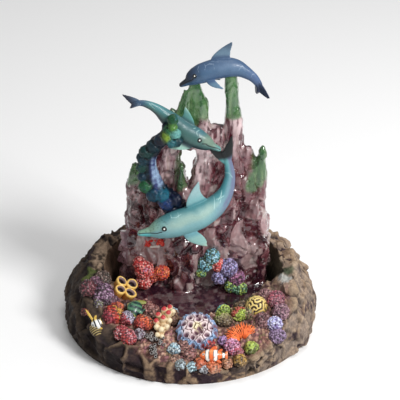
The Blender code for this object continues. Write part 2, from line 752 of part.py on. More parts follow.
def fan_coral(name, frame, radius):
    """Fingers that spread from one root."""
    pieces = [dome(name + "_root", frame, FAN_ROOT * radius, FAN_ROOT_HEIGHT)]
    for i in range(FAN_FINGERS):
        angle = math.radians(mix(FAN_FIRST, FAN_LAST, i / (FAN_FINGERS - 1)))
        reach = radius * mix(*FINGER_LENGTH, chance(name, i))
        rings = []
        for share, thick, lift in FINGER_PROFILE:
            x = reach * share * math.cos(angle)
            y = reach * share * math.sin(angle) * FAN_SQUASH - FAN_DROP * radius
            ring = []
            for j in range(FINGER_SIDES):
                turn = 2 * math.pi * j / FINGER_SIDES
                swell = thick * math.cos(turn)
                ring.append(upright(frame, x - swell * math.sin(angle), y + swell * math.cos(angle),
                                    lift + thick * math.sin(turn)))
            rings.append(ring)
        pieces.append(new_object(name + "_finger", loft(rings)))
    return pieces


# Corals on the ground: name, direction in degrees, share of the way out, radius and height
REEF_LUMPS = (
    ("purple_left", -154, 0.60, 6.5, 5.0), ("maroon_left", -159, 0.95, 5.5, 4.5),
    ("fringe_tan", -139, 1.0, 4.5, 3.5), ("orange_red", -139, 0.62, 6.8, 5.0),
    ("grey_lavender", -133, 0.48, 4.6, 4.2), ("pink_red", -127, 0.72, 5.6, 4.5),
    ("grey_left", -121, 0.62, 4.2, 3.6), ("red_left", -122, 0.38, 5.0, 4.6),
    ("tan_rock", -136, 0.02, 5.5, 3.4), ("anemone", -109, 0.28, 6.4, 5.2),
    ("pale_blue", -111, 0.0, 4.2, 4.0), ("white_knob", -98, 0.68, 3.6, 4.0),
    ("barnacles_high", -110, 0.56, 4.4, 3.4), ("barnacles_low", -108, 0.74, 4.0, 3.2),
    ("pink_brown", -92, 0.66, 3.8, 3.2), ("blue_knob_left", -94, 0.90, 3.2, 3.0),
    ("blue_knob_right", -89, 0.93, 3.0, 2.8), ("tan_clump", -97, 0.82, 3.2, 2.8),
    ("red_knobs", -81, 0.54, 3.6, 3.2), ("orange_low", -85, 0.83, 3.4, 3.4),
    ("orange_mid", -79, 0.88, 4.2, 3.4), ("grey_low", -84, 0.97, 3.0, 2.6),
    ("aqua_coral", -61, 0.14, 5.4, 4.6), ("green_red", -51, 0.26, 5.0, 4.2),
    ("brain_coral", -35, 0.36, 7.2, 6.4), ("magenta_right", -29, 0.66, 5.2, 3.8),
    ("lavender_white", -42, 0.82, 6.0, 4.2), ("lavender_pink", -68, 0.72, 4.8, 3.8),
    ("yellow_green", -59, 0.84, 4.2, 3.6), ("dark_yellow", -67, 0.94, 4.0, 3.2),
)
SPONGE_PLACE = (-161, 0.06)
SPONGE_CUPS = ((-4.2, -3.8), (3.0, -3.4), (-3.6, 3.2), (3.8, 3.6))
SPONGE_CUP_RADIUS = 3.9
SPONGE_CUP_HEIGHT = 6.0
ROSETTE_PLACE = (-85, 0.24)
ROSETTE_CORE_RADIUS = 8.0
ROSETTE_CORE_HEIGHT = 5.0
ROSETTE_CUPS = 8
ROSETTE_RING = 9.4
ROSETTE_CUP_RADIUS = 3.4
ROSETTE_CUP_HEIGHT = 3.6
ROSETTE_SPLAY = 0.04
FISH = (
    ("angel_fish", -137, 0.20, 11.5, 9.0, 2.6), ("clown_fish", -78, 0.70, 18.0, 8.0, 0.0),
    ("butterfly_fish", -142, 0.90, 7.5, 8.0, 1.2),
)
FAN_PLACE = (-59, 0.52)
FAN_RADIUS = 11.0


def build_base():
    """The rock bowl with its reef, cast as one."""
    finish = material("painted_rock", (0.26, 0.21, 0.18), 0.8)
    base = new_object("rock_base", loft(base_rings()), finish)
    reef = []
    for name, degrees, share, radius, height in REEF_LUMPS:
        reef.append(dome(name, reef_frame(degrees, share), radius, height))
    sponge = reef_frame(*SPONGE_PLACE)
    for x, y in SPONGE_CUPS:
        reef.append(cup("sponge", SPONGE_SIDES, sponge, x, y, SPONGE_CUP_RADIUS, SPONGE_CUP_HEIGHT))
    rosette = reef_frame(*ROSETTE_PLACE)
    reef.append(dome("rosette", rosette, ROSETTE_CORE_RADIUS, ROSETTE_CORE_HEIGHT))
    for i in range(ROSETTE_CUPS):
        angle = 2 * math.pi * i / ROSETTE_CUPS
        x = ROSETTE_RING * math.cos(angle)
        y = ROSETTE_RING * math.sin(angle)
        reef.append(cup("rosette_cup", ROSETTE_CUP_SIDES, rosette, x, y, ROSETTE_CUP_RADIUS,
                        ROSETTE_CUP_HEIGHT, ROSETTE_SPLAY))
    reef += fan_coral("fan", reef_frame(*FAN_PLACE), FAN_RADIUS)
    for name, degrees, share, length, height, heading in FISH:
        reef.append(small_fish(name, reef_frame(degrees, share), length, height, heading))
    join(base, reef)
    return base


def main():
    start_scene()
    top, middle, lower = build_dolphins()
    stem = build_stem(middle, lower)
    left = build_clump("coral_clump_left", CLUMP_LEFT, (0.45, 0.07, 0.06))
    right = build_clump("coral_clump_right", CLUMP_RIGHT, (0.20, 0.18, 0.25))
    base = build_base()
    build_crystal((base, top, middle, lower, stem, left, right))
    for item in MODEL.objects:
        close_slits(item)


main()
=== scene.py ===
"""Looks of the dolphin figurine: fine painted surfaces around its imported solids.

Shapes are worked out in millimetres and become metres when a mesh is made of them. The free forms
repeat the sculpture's own layout: places are given above the bowl's floor, as in the solids.
"""

import math
import random

import bmesh
import bpy
import numpy as np
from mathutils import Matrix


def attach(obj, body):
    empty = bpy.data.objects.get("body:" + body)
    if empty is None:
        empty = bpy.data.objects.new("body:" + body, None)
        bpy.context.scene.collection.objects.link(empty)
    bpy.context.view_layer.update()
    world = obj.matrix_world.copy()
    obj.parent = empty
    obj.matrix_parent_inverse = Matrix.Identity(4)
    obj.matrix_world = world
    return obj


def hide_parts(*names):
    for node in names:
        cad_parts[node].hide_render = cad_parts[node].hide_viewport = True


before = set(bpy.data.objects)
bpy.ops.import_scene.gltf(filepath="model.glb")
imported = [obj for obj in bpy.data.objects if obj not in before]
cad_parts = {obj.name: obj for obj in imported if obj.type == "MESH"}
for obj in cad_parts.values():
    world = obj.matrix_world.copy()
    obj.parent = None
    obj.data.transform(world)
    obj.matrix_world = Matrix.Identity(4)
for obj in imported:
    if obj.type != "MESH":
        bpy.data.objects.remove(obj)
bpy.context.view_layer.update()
MM = 0.001
BODY_NAME = "root"

# Sizes of the rock base, in millimetres
FLOOR = 14.0
WALL = 42.0
FRONT_WALL = 10.0
POOL_LIP = 24.0
BOWL = 61.0
BOWL_SHIFT = 2.0
FOOT = 86.0
WALL_RUN = 16.0
BOWL_WALL_RUN = 4.0
BLOCK_RELIEF = 2.4
LEDGE_RELIEF = 2.6
CROWN = 4.0
POOL_TOP = 22.0
POOL_SPILL = 1.0
CRAG_HALF_WIDTH = 52.0
POOL_REACH = 0.73 * CRAG_HALF_WIDTH
DEPTH_RATIO = 0.93
PLUMB_SHARE = 0.29
WALL_CURVE = 1.6
ROCK_BLOCKS = 24
COLUMNS_PER_BLOCK = 3

# Fineness of the skins: the edge of a face
DOLPHIN_GRAIN = 0.37
STEM_GRAIN = 0.42
CLUMP_GRAIN = 0.42
CRAG_GRAIN = 0.85
SEALED_GRAIN = 0.3
ANEMONE_GRAIN = 0.38


def chance(*key):
    """A repeatable number from 0 to 1 for a key."""
    return random.Random(repr(key)).random()


def mix(first, second, share):
    """Go from first to second."""
    return first + (second - first) * share


def ease(low, high, value):
    """Rise smoothly from 0 at low to 1 at high."""
    share = np.clip((np.asarray(value, float) - low) / (high - low), 0.0, 1.0)
    return share * share * (3.0 - 2.0 * share)


def bump(centre, reach, value):
    """A smooth hill from 0 to 1 and back round a centre."""
    return np.exp(-((np.asarray(value, float) - centre) / reach) ** 2)


def place(point):
    """A point of the sculpture, given above the bowl's floor."""
    return np.array((point[0], point[1], FLOOR + point[2]), float)


def srgb(colour):
    """A linear colour from screen values of 0 to 255."""
    value = np.array(colour, float) / 255.0
    return np.where(value <= 0.04045, value / 12.92, ((value + 0.055) / 1.055) ** 2.4)


def unit(vectors):
    """Vectors of length one."""
    return vectors / np.maximum(np.linalg.norm(vectors, axis=-1, keepdims=True), 1e-9)


def turns(count):
    """Even directions round a circle."""
    return 2 * np.pi * np.arange(count) / count


HASH = np.array((73856093, 19349663, 83492791), np.int64)
HASH_LIMIT = 0x7FFFFFFF


def scatter(cells, seed):
    """Repeatable numbers from 0 to 1, one for each whole-number cell."""
    key = ((cells * HASH).sum(-1) + seed * 97531) & HASH_LIMIT
    key = ((key ^ (key >> 15)) * 1103515245 + 12345) & HASH_LIMIT
    key = ((key ^ (key >> 13)) * 69069 + 1) & HASH_LIMIT
    return (key ^ (key >> 16)) / HASH_LIMIT


def wander(points, size, seed, octaves=1):
    """Soft noise from -1 to 1, with bumps of a size and finer ones in further octaves."""
    total = 0.0
    weight = 1.0
    for octave in range(octaves):
        spots = points / (np.asarray(size, float) / 2 ** octave)
        low = np.floor(spots).astype(np.int64)
        part = spots - low
        part = part * part * (3 - 2 * part)
        value = np.zeros(len(points))
        for corner in np.ndindex(2, 2, 2):
            share = np.where(np.array(corner, bool), part, 1 - part).prod(1)
            value += share * scatter(low + corner, seed + octave)
        total = total + weight * (2 * value - 1)
        weight *= 0.5
    return total


def grains(points, size, seed):
    """The nearest of unevenly packed grains: its distance, the next one's, its number, the way."""
    spots = points / np.asarray(size, float)
    low = np.floor(spots).astype(np.int64)
    first = np.full(len(points), 9.0)
    second = np.full(len(points), 9.0)
    number = np.zeros(len(points))
    way = np.zeros_like(points)
    for near in np.ndindex(3, 3, 3):
        cell = low + near - 1
        centre = cell + 0.15 + 0.7 * np.stack([scatter(cell, seed + k) for k in range(3)], -1)
        offset = spots - centre
        distance = np.linalg.norm(offset, axis=1)
        closer = distance < first
        second = np.where(closer, first, np.minimum(second, distance))
        number = np.where(closer, scatter(cell, seed + 7), number)
        way = np.where(closer[:, None], offset, way)
        first = np.where(closer, distance, first)
    return first, second, number, way


def facet(way, number, waves, lean=1.0):
    """How high a point lies on its grain's own slanting face."""
    first, second, third = waves
    tilt = np.stack([np.sin(first * number), np.cos(second * number),
                     lean * np.sin(third * number)], 1)
    return (way * tilt).sum(1)


def loft(rings):
    """A closed body through rings of equally many points: its points and faces."""
    rings = np.asarray(rings, float)
    levels, sides = rings.shape[:2]
    faces = []
    for level in range(levels - 1):
        for i in range(sides):
            j = (i + 1) % sides
            faces.append((level * sides + i, level * sides + j, (level + 1) * sides + j,
                          (level + 1) * sides + i))
    faces.append(tuple(reversed(range(sides))))
    faces.append(tuple(range((levels - 1) * sides, levels * sides)))
    return rings.reshape(-1, 3), faces


def ball(centre=(0.0, 0.0, 0.0), radius=1.0, steps=3):
    """A round body: its points and faces."""
    form = bmesh.new()
    bmesh.ops.create_icosphere(form, subdivisions=steps, radius=1.0)
    points = np.array([vert.co for vert in form.verts]) * radius + centre
    faces = [tuple(vert.index for vert in face.verts) for face in form.faces]
    form.free()
    return points, faces


def joined(parts):
    """Several bodies as one list of points and faces."""
    points = []
    faces = []
    count = 0
    for spots, sides in parts:
        points.append(spots)
        faces += [tuple(index + count for index in face) for face in sides]
        count += len(spots)
    return np.concatenate(points), faces


def mesh_of(points, faces):
    """A mesh with all its faces pointing out."""
    mesh = bpy.data.meshes.new("skin")
    mesh.from_pydata(points.tolist(), [], faces)
    form = bmesh.new()
    form.from_mesh(mesh)
    bmesh.ops.recalc_face_normals(form, faces=form.faces)
    form.to_mesh(mesh)
    form.free()
    return mesh


def shown(name, data):
    """A new object in the scene."""
    item = bpy.data.objects.new(name, data)
    bpy.context.scene.collection.objects.link(item)
    return item


def settled(mesh, **modifiers):
    """A mesh as its modifiers leave it: each is given by its type and its settings."""
    item = shown("shaping", mesh)
    for kind, settings in modifiers.items():
        step = item.modifiers.new(kind, kind)
        for key, value in settings.items():
            setattr(step, key, value)
    graph = bpy.context.evaluated_depsgraph_get()
    made = bpy.data.meshes.new_from_object(item.evaluated_get(graph))
    bpy.data.objects.remove(item)
    return made


class Skin:
    """A closed mesh in millimetres that is shaped and painted point by point."""

    def __init__(self, mesh):
        self.mesh = mesh
        count = len(mesh.vertices)
        self.points = np.empty(count * 3)
        mesh.vertices.foreach_get("co", self.points)
        self.points = self.points.reshape(-1, 3)
        edges = np.empty(len(mesh.edges) * 2, np.int32)
        mesh.edges.foreach_get("vertices", edges)
        self.edges = edges.reshape(-1, 2)
        self.valence = np.bincount(self.edges.ravel(), minlength=count).clip(1)
        self.paint = np.zeros((count, 3))

    def around(self, values):
        """The mean of the neighbours' values, for every point."""
        values = values.reshape(len(self.points), -1)
        total = np.empty_like(values)
        a, b = self.edges.T
        for k in range(values.shape[1]):
            total[:, k] = (np.bincount(a, values[b, k], len(values))
                           + np.bincount(b, values[a, k], len(values)))
        return total / self.valence[:, None]

    def relax(self, passes, hold=None):
        """Smooth the form without shrinking it."""
        for _ in range(passes):
            for push in (0.55, -0.57):
                move = (self.around(self.points) - self.points) * push
                self.points = self.points + (move if hold is None else move * hold[:, None])

    def normals(self):
        """The outward direction at every point."""
        self.mesh.vertices.foreach_set("co", self.points.ravel())
        self.mesh.update()
        found = np.empty(len(self.points) * 3)
        self.mesh.vertex_normals.foreach_get("vector", found)
        return found.reshape(-1, 3)

    def swell(self, heights):
        """Move every point out by a height."""
        self.points = self.points + self.normals() * np.asarray(heights)[:, None]

    def relief(self, passes):
        """How far every point stands out of the form that smoothing leaves."""
        normals = self.normals()
        smooth = self.points
        for _ in range(passes):
            smooth = mix(smooth, self.around(smooth), 0.8)
        return ((self.points - smooth) * normals).sum(1)

    def blend(self, colour, share=1.0):
        """Lay a colour, given in screen values, over the paint."""
        share = np.clip(np.asarray(share, float), 0.0, 1.0) * np.ones(len(self.paint))
        self.paint = mix(self.paint, srgb(colour), share[:, None])

    def away(self, spot):
        """How far every point lies from a spot."""
        return np.linalg.norm(self.points - spot, axis=1)

    def mark(self, name, values):
        """Keep a number for every point, for the finish to read."""
        attribute = self.mesh.attributes.new(name, "FLOAT", "POINT")
        attribute.data.foreach_set("value", np.asarray(values, np.float32))

    def piece(self, name, finish, slot, *replaced):
        """Make the piece, in metres."""
        self.mesh.vertices.foreach_set("co", (self.points * MM).ravel())
        colours = np.ones((len(self.points), 4), np.float32)
        colours[:, :3] = self.paint.clip(0, 1)
        attribute = self.mesh.color_attributes.new("paint", "FLOAT_COLOR", "POINT")
        attribute.data.foreach_set("color", colours.ravel())
        self.mesh.name = name
        self.mesh.materials.clear()
        self.mesh.materials.append(finish)
        self.mesh.polygons.foreach_set("material_index",
                                       np.zeros(len(self.mesh.polygons), np.int32))
        self.mesh.shade_smooth()
        self.mesh.update()
        item = shown(name, self.mesh)
        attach(item, BODY_NAME)
        if replaced:
            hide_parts(*replaced)


def cast(parts, grain):
    """One fine skin round several closed bodies."""
    mesh = mesh_of(*joined(parts))
    return Skin(settled(mesh, REMESH={"mode": "VOXEL", "voxel_size": grain}))


# Finishes: depths in metres

GRAIN_DEPTH = 0.0003
CHIP_DEPTH = 0.0009
CHIP_STRENGTH = 0.4
COAT_ROUGHNESS = 0.12


def set_values(shader, **values):
    """Set plain values on a shader's own sockets."""
    for name, value in values.items():
        shader.inputs[name.replace("_", " ")].default_value = value


def node(tree, kind, settings=None, **values):
    """Add a node: its settings, then its inputs, each a plain value or another node's output."""
    made = tree.nodes.new("ShaderNode" + kind)
    for key, value in (settings or {}).items():
        setattr(made, key, value)
    for key, value in values.items():
        name = key.replace("_", " ")
        socket = made.inputs[int(name[5:])] if name.startswith("input") else made.inputs[name]
        if isinstance(value, bpy.types.NodeSocket):
            tree.links.new(value, socket)
        else:
            socket.default_value = value
    return made


def speckle(tree, place_of, scale, detail=3.0):
    """Soft noise over the surface, in bumps per metre."""
    return node(tree, "TexNoise", Vector=place_of, Scale=scale, Detail=detail).outputs["Fac"]


def ramp(tree, value, low, high, start=0.0, end=1.0):
    """Turn a range of a value into another range."""
    made = node(tree, "MapRange", Value=value)
    for name, number in (("From Min", low), ("From Max", high), ("To Min", start), ("To Max", end)):
        made.inputs[name].default_value = number
    return made.outputs["Result"]


def tinted(tree, colour, other, share, mode="MIX"):
    """Blend two colours."""
    made = node(tree, "Mix", {"data_type": "RGBA", "blend_type": mode})
    for socket, value in ((made.inputs[0], share), (made.inputs[6], colour),
                          (made.inputs[7], other)):
        if isinstance(value, bpy.types.NodeSocket):
            tree.links.new(value, socket)
        elif isinstance(value, float):
            socket.default_value = value
        else:
            socket.default_value = (*value, 1.0)
    return made.outputs[2]


def attribute(tree, name, output="Fac"):
    """A value that a skin keeps."""
    return node(tree, "Attribute", {"attribute_name": name}).outputs[output]


def painted(name, roughness=(0.35, 0.55), tone=(0.85, 1.12), tone_scale=900, grain_scale=3500,
            grain=0.12, coat=0.0, lines=(), chips=0.0, **plain):
    """Painted resin: the skin's paint, with an uneven tone, an uneven gloss and a fine grain."""
    finish = bpy.data.materials.new(name)
    finish.use_nodes = True
    tree = finish.node_tree
    shader = tree.nodes["Principled BSDF"]
    where = node(tree, "TexCoord").outputs["Object"]
    colour = attribute(tree, "paint", "Color")
    mottle = ramp(tree, speckle(tree, where, tone_scale, 5.0), 0.3, 0.7, *tone)
    colour = tinted(tree, colour,
                    node(tree, "CombineColor", Red=mottle, Green=mottle, Blue=mottle).outputs[0],
                    1.0, "MULTIPLY")
    for key, tint, width, strength in lines:
        share = ramp(tree, attribute(tree, key), width * 0.6, width * 1.5, strength, 0.0)
        colour = tinted(tree, colour, srgb(tint), share)
    tree.links.new(colour, shader.inputs["Base Color"])
    gloss = ramp(tree, speckle(tree, where, tone_scale * 0.6), 0.3, 0.7, *roughness)
    tree.links.new(gloss, shader.inputs["Roughness"])
    raised = node(tree, "Bump", Strength=grain, Distance=GRAIN_DEPTH,
                  Height=speckle(tree, where, grain_scale, 4.0))
    if chips:
        cells = node(tree, "TexVoronoi", Vector=where, Scale=chips).outputs["Distance"]
        depth = ramp(tree, attribute(tree, "chipped"), 0.0, 1.0, 0.0, CHIP_STRENGTH)
        raised = node(tree, "Bump", Strength=depth, Distance=CHIP_DEPTH, Height=cells,
                      Normal=raised.outputs[0])
    for socket in ("Normal", "Coat Normal"):
        tree.links.new(raised.outputs[0], shader.inputs[socket])
    set_values(shader, Coat_Weight=coat, Coat_Roughness=COAT_ROUGHNESS, **plain)
    return finish


# The dolphins: along the body, the share of its length, half its depth and half its width

CURVE_STEPS = 12
SPINE_POINTS = 241
AT_ONCE = 20000
BODY = np.array((
    (0.000, 0.012, 0.012), (0.020, 0.020, 0.022), (0.050, 0.027, 0.027), (0.092, 0.036, 0.034),
    (0.112, 0.051, 0.045), (0.140, 0.065, 0.058), (0.190, 0.080, 0.072), (0.260, 0.093, 0.084),
    (0.360, 0.095, 0.087), (0.450, 0.093, 0.085), (0.575, 0.075, 0.070), (0.710, 0.049, 0.044),
    (0.795, 0.038, 0.031), (0.900, 0.028, 0.019), (1.000, 0.018, 0.014),
))
TAIL_BLEND = (0.35, 0.70)
FLUKE_ROOT = 0.89
# Blades of the dorsal fin, the pectorals and the flukes: thickness, bow of the front edge and
# of the rear edge, chord at the tip
TOP_BLADES = (
    (0.018, 0.062, 0.020, 0.052), (0.013, 0.042, 0.012, 0.016), (0.016, 0.050, -0.010, 0.036),
)
MIDDLE_BLADES = (
    (0.016, 0.055, 0.030, 0.040), (0.012, 0.045, -0.020, 0.024), (0.012, 0.035, 0.000, 0.022),
)
LOWER_BLADES = (
    (0.016, 0.045, 0.030, 0.026), (0.012, 0.036, -0.018, 0.022), (0.012, 0.035, 0.000, 0.020),
)
TIP_ROUNDING = 0.22
DORSAL_SINK = 0.05
PECTORAL_SIDE = 0.050
PECTORAL_DROP = 0.055
FLUKE_OVERLAP = 0.012
MOUTH_CUT = 0.34
LIP_RISE = 0.16
BROW_RISE = 0.28
BROW_REACH = 0.026
EYE_SPOT = 0.36
EYE_LIFT = 0.08
EYE_LEVELS = 12
EYE_SIDES = 28
EYE_WHITE = (244, 244, 238)
EYE_DARK = (4, 6, 8)
# Each layout: spine, the flank's side, girths, dorsal fin, pectorals, fluke tips and blades
TOP = (
    ((-6.6, 13, 155.5), (-1.1, 13.5, 158.5), (3.8, 14, 162.0), (11.5, 14.6, 165.1),
     (20.9, 15, 167.5), (30.4, 15, 167.1), (39.3, 14.3, 162.2), (43.2, 13.6, 158.3),
     (45.0, 13, 155.0), (44.8, 12, 151.7)),
    (0, -1, 0),
    (1.13, 1.42),
    (0.36, 0.57, (25.2, 15, 185.2)),
    (0.28, 0.375, (21.9, 5, 156.8), (20.0, 21.5, 155.5)),
    ((51.2, 6, 151.4), (42.4, 18, 149.6)),
    TOP_BLADES,
)
MIDDLE = (
    ((20.3, -5, 118.3), (14.2, -4, 121.0), (7.0, -3, 124.5), (1.3, -2, 127.3), (-5.5, -1, 131.3),
     (-11.0, 0, 136.1), (-14.9, 0, 140.0), (-19.9, -0.5, 145.1), (-25.1, -1.5, 148.9),
     (-30.9, -2.5, 151.1), (-36.8, -4, 150.6)),
    (0, 1, 0),
    (1.08, 1.10),
    (0.33, 0.53, (-1.6, 0, 146.2)),
    (0.25, 0.36, (-8.0, 6, 120.5), (-12.0, -9.5, 121.5)),
    ((-42.1, 1, 155.6), (-37.2, -9, 150.5)),
    MIDDLE_BLADES,
)
LOWER = (
    ((-34.8, -15, 60.6), (-25.5, -15, 62.5), (-17.4, -15, 65.4), (-10.8, -14.3, 67.5),
     (-2.3, -13, 69.8), (5.9, -11.5, 72.5), (14.0, -8.8, 76.2), (19.9, -6, 80.8), (24.0, -4, 87.0),
     (26.1, -2, 94.7), (26.1, -1.3, 100.5), (24.7, 0, 108.1), (21.6, 1, 114.3)),
    (0, -1, 0),
    (1.0, 1.0),
    (0.38, 0.57, (4.5, -12, 98.0)),
    (0.30, 0.38, (10.4, -17.5, 52.0), (3.0, -8.5, 55.5)),
    ((28.0, 0, 125.6), (13.0, 2, 113.7)),
    LOWER_BLADES,
)


class Spine:
    """A smooth line with a length, a flank side and a back side."""

    def __init__(self, points, flank):
        spots = np.array([place(point) for point in points])
        ends = np.concatenate(([2 * spots[0] - spots[1]], spots, [2 * spots[-1] - spots[-2]]))
        fine = []
        for a, b, c, d in zip(ends, ends[1:], ends[2:], ends[3:]):
            for t in np.arange(CURVE_STEPS) / CURVE_STEPS:
                fine.append(0.5 * (2 * b + (c - a) * t + (2 * a - 5 * b + 4 * c - d) * t ** 2
                                   + (3 * b - a - 3 * c + d) * t ** 3))
        fine = np.array([*fine, spots[-1]])
        travel = np.concatenate(([0], np.cumsum(np.linalg.norm(np.diff(fine, axis=0), axis=1))))
        self.length = travel[-1]
        self.shares = np.linspace(0, 1, SPINE_POINTS)
        self.path = np.stack([np.interp(self.shares * self.length, travel, fine[:, k])
                              for k in range(3)], 1)
        reach = 6
        padded = np.pad(self.path, ((reach, reach), (0, 0)), "edge")
        self.onward = unit(padded[2 * reach:] - padded[:-2 * reach])
        self.back = unit(np.cross(flank, self.onward))
        self.flank = unit(np.cross(self.onward, self.back))

    def at(self, share):
        """Point, flank, back and onward directions at shares of the length."""
        return tuple(np.stack([np.interp(share, self.shares, table[:, k]) for k in range(3)], -1)
                     for table in (self.path, self.flank, self.back, self.onward))

    def locate(self, points):
        """Share of the length, then the way to the flank and to the back, for every point."""
        nearest = np.empty(len(points), np.int64)
        for start in range(0, len(points), AT_ONCE):
            chunk = points[start:start + AT_ONCE]
            far = (self.path ** 2).sum(1) - 2 * chunk @ self.path.T
            nearest[start:start + AT_ONCE] = far.argmin(1)
        offset = points - self.path[nearest]
        share = self.shares[nearest] + (offset * self.onward[nearest]).sum(1) / self.length
        return share, (offset * self.flank[nearest]).sum(1), (offset * self.back[nearest]).sum(1)


class Dolphin:
    """One dolphin's layout: where its skin, fins and marks lie."""

    def __init__(self, points, flank, girths, dorsal, pectorals, fluke_tips, blades):
        self.spine = Spine(points, flank)
        self.size = self.spine.length
        self.girths = girths
        self.dorsal = dorsal
        self.pectorals = pectorals
        self.fluke_tips = fluke_tips
        self.dorsal_blade, self.pectoral_blade, self.fluke_blade = blades

    def girth(self, share):
        """Half the depth and half the width of the body, in millimetres."""
        scale = mix(*self.girths, ease(*TAIL_BLEND, share)) * self.size
        return tuple(np.interp(share, BODY[:, 0], BODY[:, k]) * scale for k in (1, 2))

    def body(self, levels=150, sides=40):
        """The body, with a round nose."""
        shares = np.concatenate(([0.002, 0.006], np.linspace(0.012, 1, levels)))
        point, flank, back, _ = self.spine.at(shares)
        deep, wide = self.girth(shares)
        close = np.sqrt(np.clip(shares / 0.012, 0.15, 1))
        turn = turns(sides)
        across = flank[:, None] * (np.cos(turn)[None, :] * (wide * close)[:, None])[..., None]
        along = back[:, None] * (np.sin(turn)[None, :] * (deep * close)[:, None])[..., None]
        return loft(point[:, None] + across + along)

    def fin(self, front, rear, tip, normal, blade, levels=22, sides=20):
        """A blade with a round leading edge, from its root to its tip."""
        thickness, lead_bow, trail_bow, tip_chord = blade
        chord = unit(rear - front) * self.size
        rings = []
        for share in np.linspace(0, 1, levels):
            bow = math.sin(math.pi * share)
            lead = mix(front, tip, share) - chord * lead_bow * bow
            trail = mix(rear, tip + chord * tip_chord, share) - chord * trail_bow * bow
            late = max(0.0, (share - 1 + TIP_ROUNDING) / TIP_ROUNDING)
            narrow = 0.5 - 0.5 * math.sqrt(1 - 0.92 * late ** 2)
            lead, trail = mix(lead, trail, narrow), mix(trail, lead, narrow)
            half = normal * thickness * self.size * (1.0 - 0.72 * share)
            ring = []
            for turn in turns(sides):
                along = 0.5 - 0.5 * math.cos(turn)
                full = math.sin(turn) * (1.15 - 0.55 * along)
                ring.append(mix(lead, trail, along) + half * full)
            rings.append(ring)
        return loft(rings)

    def fins(self):
        """The dorsal fin, the pectorals and the flukes."""
        size = self.size
        front_share, rear_share, tip = self.dorsal
        front, side, front_back, _ = self.spine.at(front_share)
        rear, _, rear_back, _ = self.spine.at(rear_share)
        made = [self.fin(front + front_back * DORSAL_SINK * size,
                         rear + rear_back * DORSAL_SINK * size,
                         place(tip), side, self.dorsal_blade)]
        front_share, rear_share, *tips = self.pectorals
        front, front_side, front_back, _ = self.spine.at(front_share)
        rear, rear_side, rear_back, _ = self.spine.at(rear_share)
        for sign, tip in zip((1, -1), tips):
            scale = size * self.girths[0]
            start = front + (front_side * sign * PECTORAL_SIDE - front_back * PECTORAL_DROP) * scale
            end = rear + (rear_side * sign * PECTORAL_SIDE - rear_back * PECTORAL_DROP) * scale
            across = unit(np.cross(end - start, place(tip) - start))
            made.append(self.fin(start, end, place(tip), across, self.pectoral_blade))
        root = self.spine.at(FLUKE_ROOT)[0]
        notch, _, _, onward = self.spine.at(1.0)
        for tip in self.fluke_tips:
            inward = unit(notch - place(tip)) * FLUKE_OVERLAP * size
            across = unit(np.cross(onward, place(tip) - notch))
            made.append(self.fin(root + inward, notch + inward, place(tip), across,
                                 self.fluke_blade))
        return made

    def surface(self, share, height, side):
        """A point of the body's skin, at a height from -1 at the belly to 1 at the back."""
        point, flank, back, _ = self.spine.at(share)
        deep, wide = self.girth(share)
        height = np.asarray(height, float)
        out = np.sqrt(np.clip(1 - height ** 2, 0, 1)) * wide * side
        return point + back * (height * deep)[..., None] + flank * out[..., None]

    def trace(self, skin, marks, side, steps=24):
        """How far every point of the skin lies from a line drawn on it through a few marks."""
        marks = np.array(marks, float)
        spots = np.linspace(0, len(marks) - 1, steps * (len(marks) - 1) + 1)
        order = np.arange(len(marks))
        line = self.surface(np.interp(spots, order, marks[:, 0]),
                            np.interp(spots, order, marks[:, 1]), side)
        return np.min([skin.away(spot) for spot in line], axis=0)


def eye_piece(name, form, mark, radius, finish, slot):
    """A pair of small domed eyes: a dark ring round a white spot."""
    share, height = mark
    levels = np.linspace(0, 1, EYE_LEVELS)
    parts = []
    for side in (1, -1):
        centre = form.surface(share, height, side)
        normal = unit(centre - form.spine.at(share)[0])
        right = unit(np.cross(normal, (0.0, 0.3, 1.0)))
        up = np.cross(normal, right)
        rings = []
        for level in levels:
            reach = max(0.02, level) * radius
            rise = (0.42 * math.sqrt(1 - 0.96 * level ** 2) + EYE_LIFT) * radius
            rings.append([centre + (right * math.cos(t) + up * math.sin(t)) * reach + normal * rise
                          for t in turns(EYE_SIDES)])
        rings.append([point - normal * 0.5 * radius for point in rings[-1]])
        parts.append(loft(rings))
    skin = Skin(mesh_of(*joined(parts)))
    skin.blend(EYE_DARK)
    skin.blend(EYE_WHITE, np.tile([*levels, 1.0], 2).repeat(EYE_SIDES) < EYE_SPOT)
    skin.piece(name, finish, slot)


def shaped_dolphin(dolphin, mouth, brow):
    """The skin of a dolphin with its mouth cut in, and where its points lie."""
    skin = cast([dolphin.body(), *dolphin.fins()], DOLPHIN_GRAIN)
    skin.relax(5)
    share, side, height = dolphin.spine.locate(skin.points)
    deep, wide = dolphin.girth(share.clip(0, 1))
    near = np.minimum(dolphin.trace(skin, mouth, 1), dolphin.trace(skin, mouth, -1))
    swell = -MOUTH_CUT * bump(0.0, 0.42, near)
    swell += LIP_RISE * bump(0.9, 0.5, near) * (share < mouth[-1][0])
    for sign in (1, -1):
        from_brow = skin.away(dolphin.surface(*brow, sign))
        swell += BROW_RISE * bump(0.0, BROW_REACH * dolphin.size, from_brow)
    skin.swell(swell)
    skin.mark("mouth", near)
    body = np.hypot(side / wide.clip(0.1), height / deep.clip(0.1))
    skin.share = share
    skin.height = height / deep.clip(0.1)
    skin.fin = ease(1.12, 1.5, body)
    skin.dorsal = skin.fin * (height > 0) * (share < 0.8)
    skin.pectoral = skin.fin * (height < 0) * (share < 0.8)
    skin.fluke = ease(0.86, 0.97, share)
    return skin


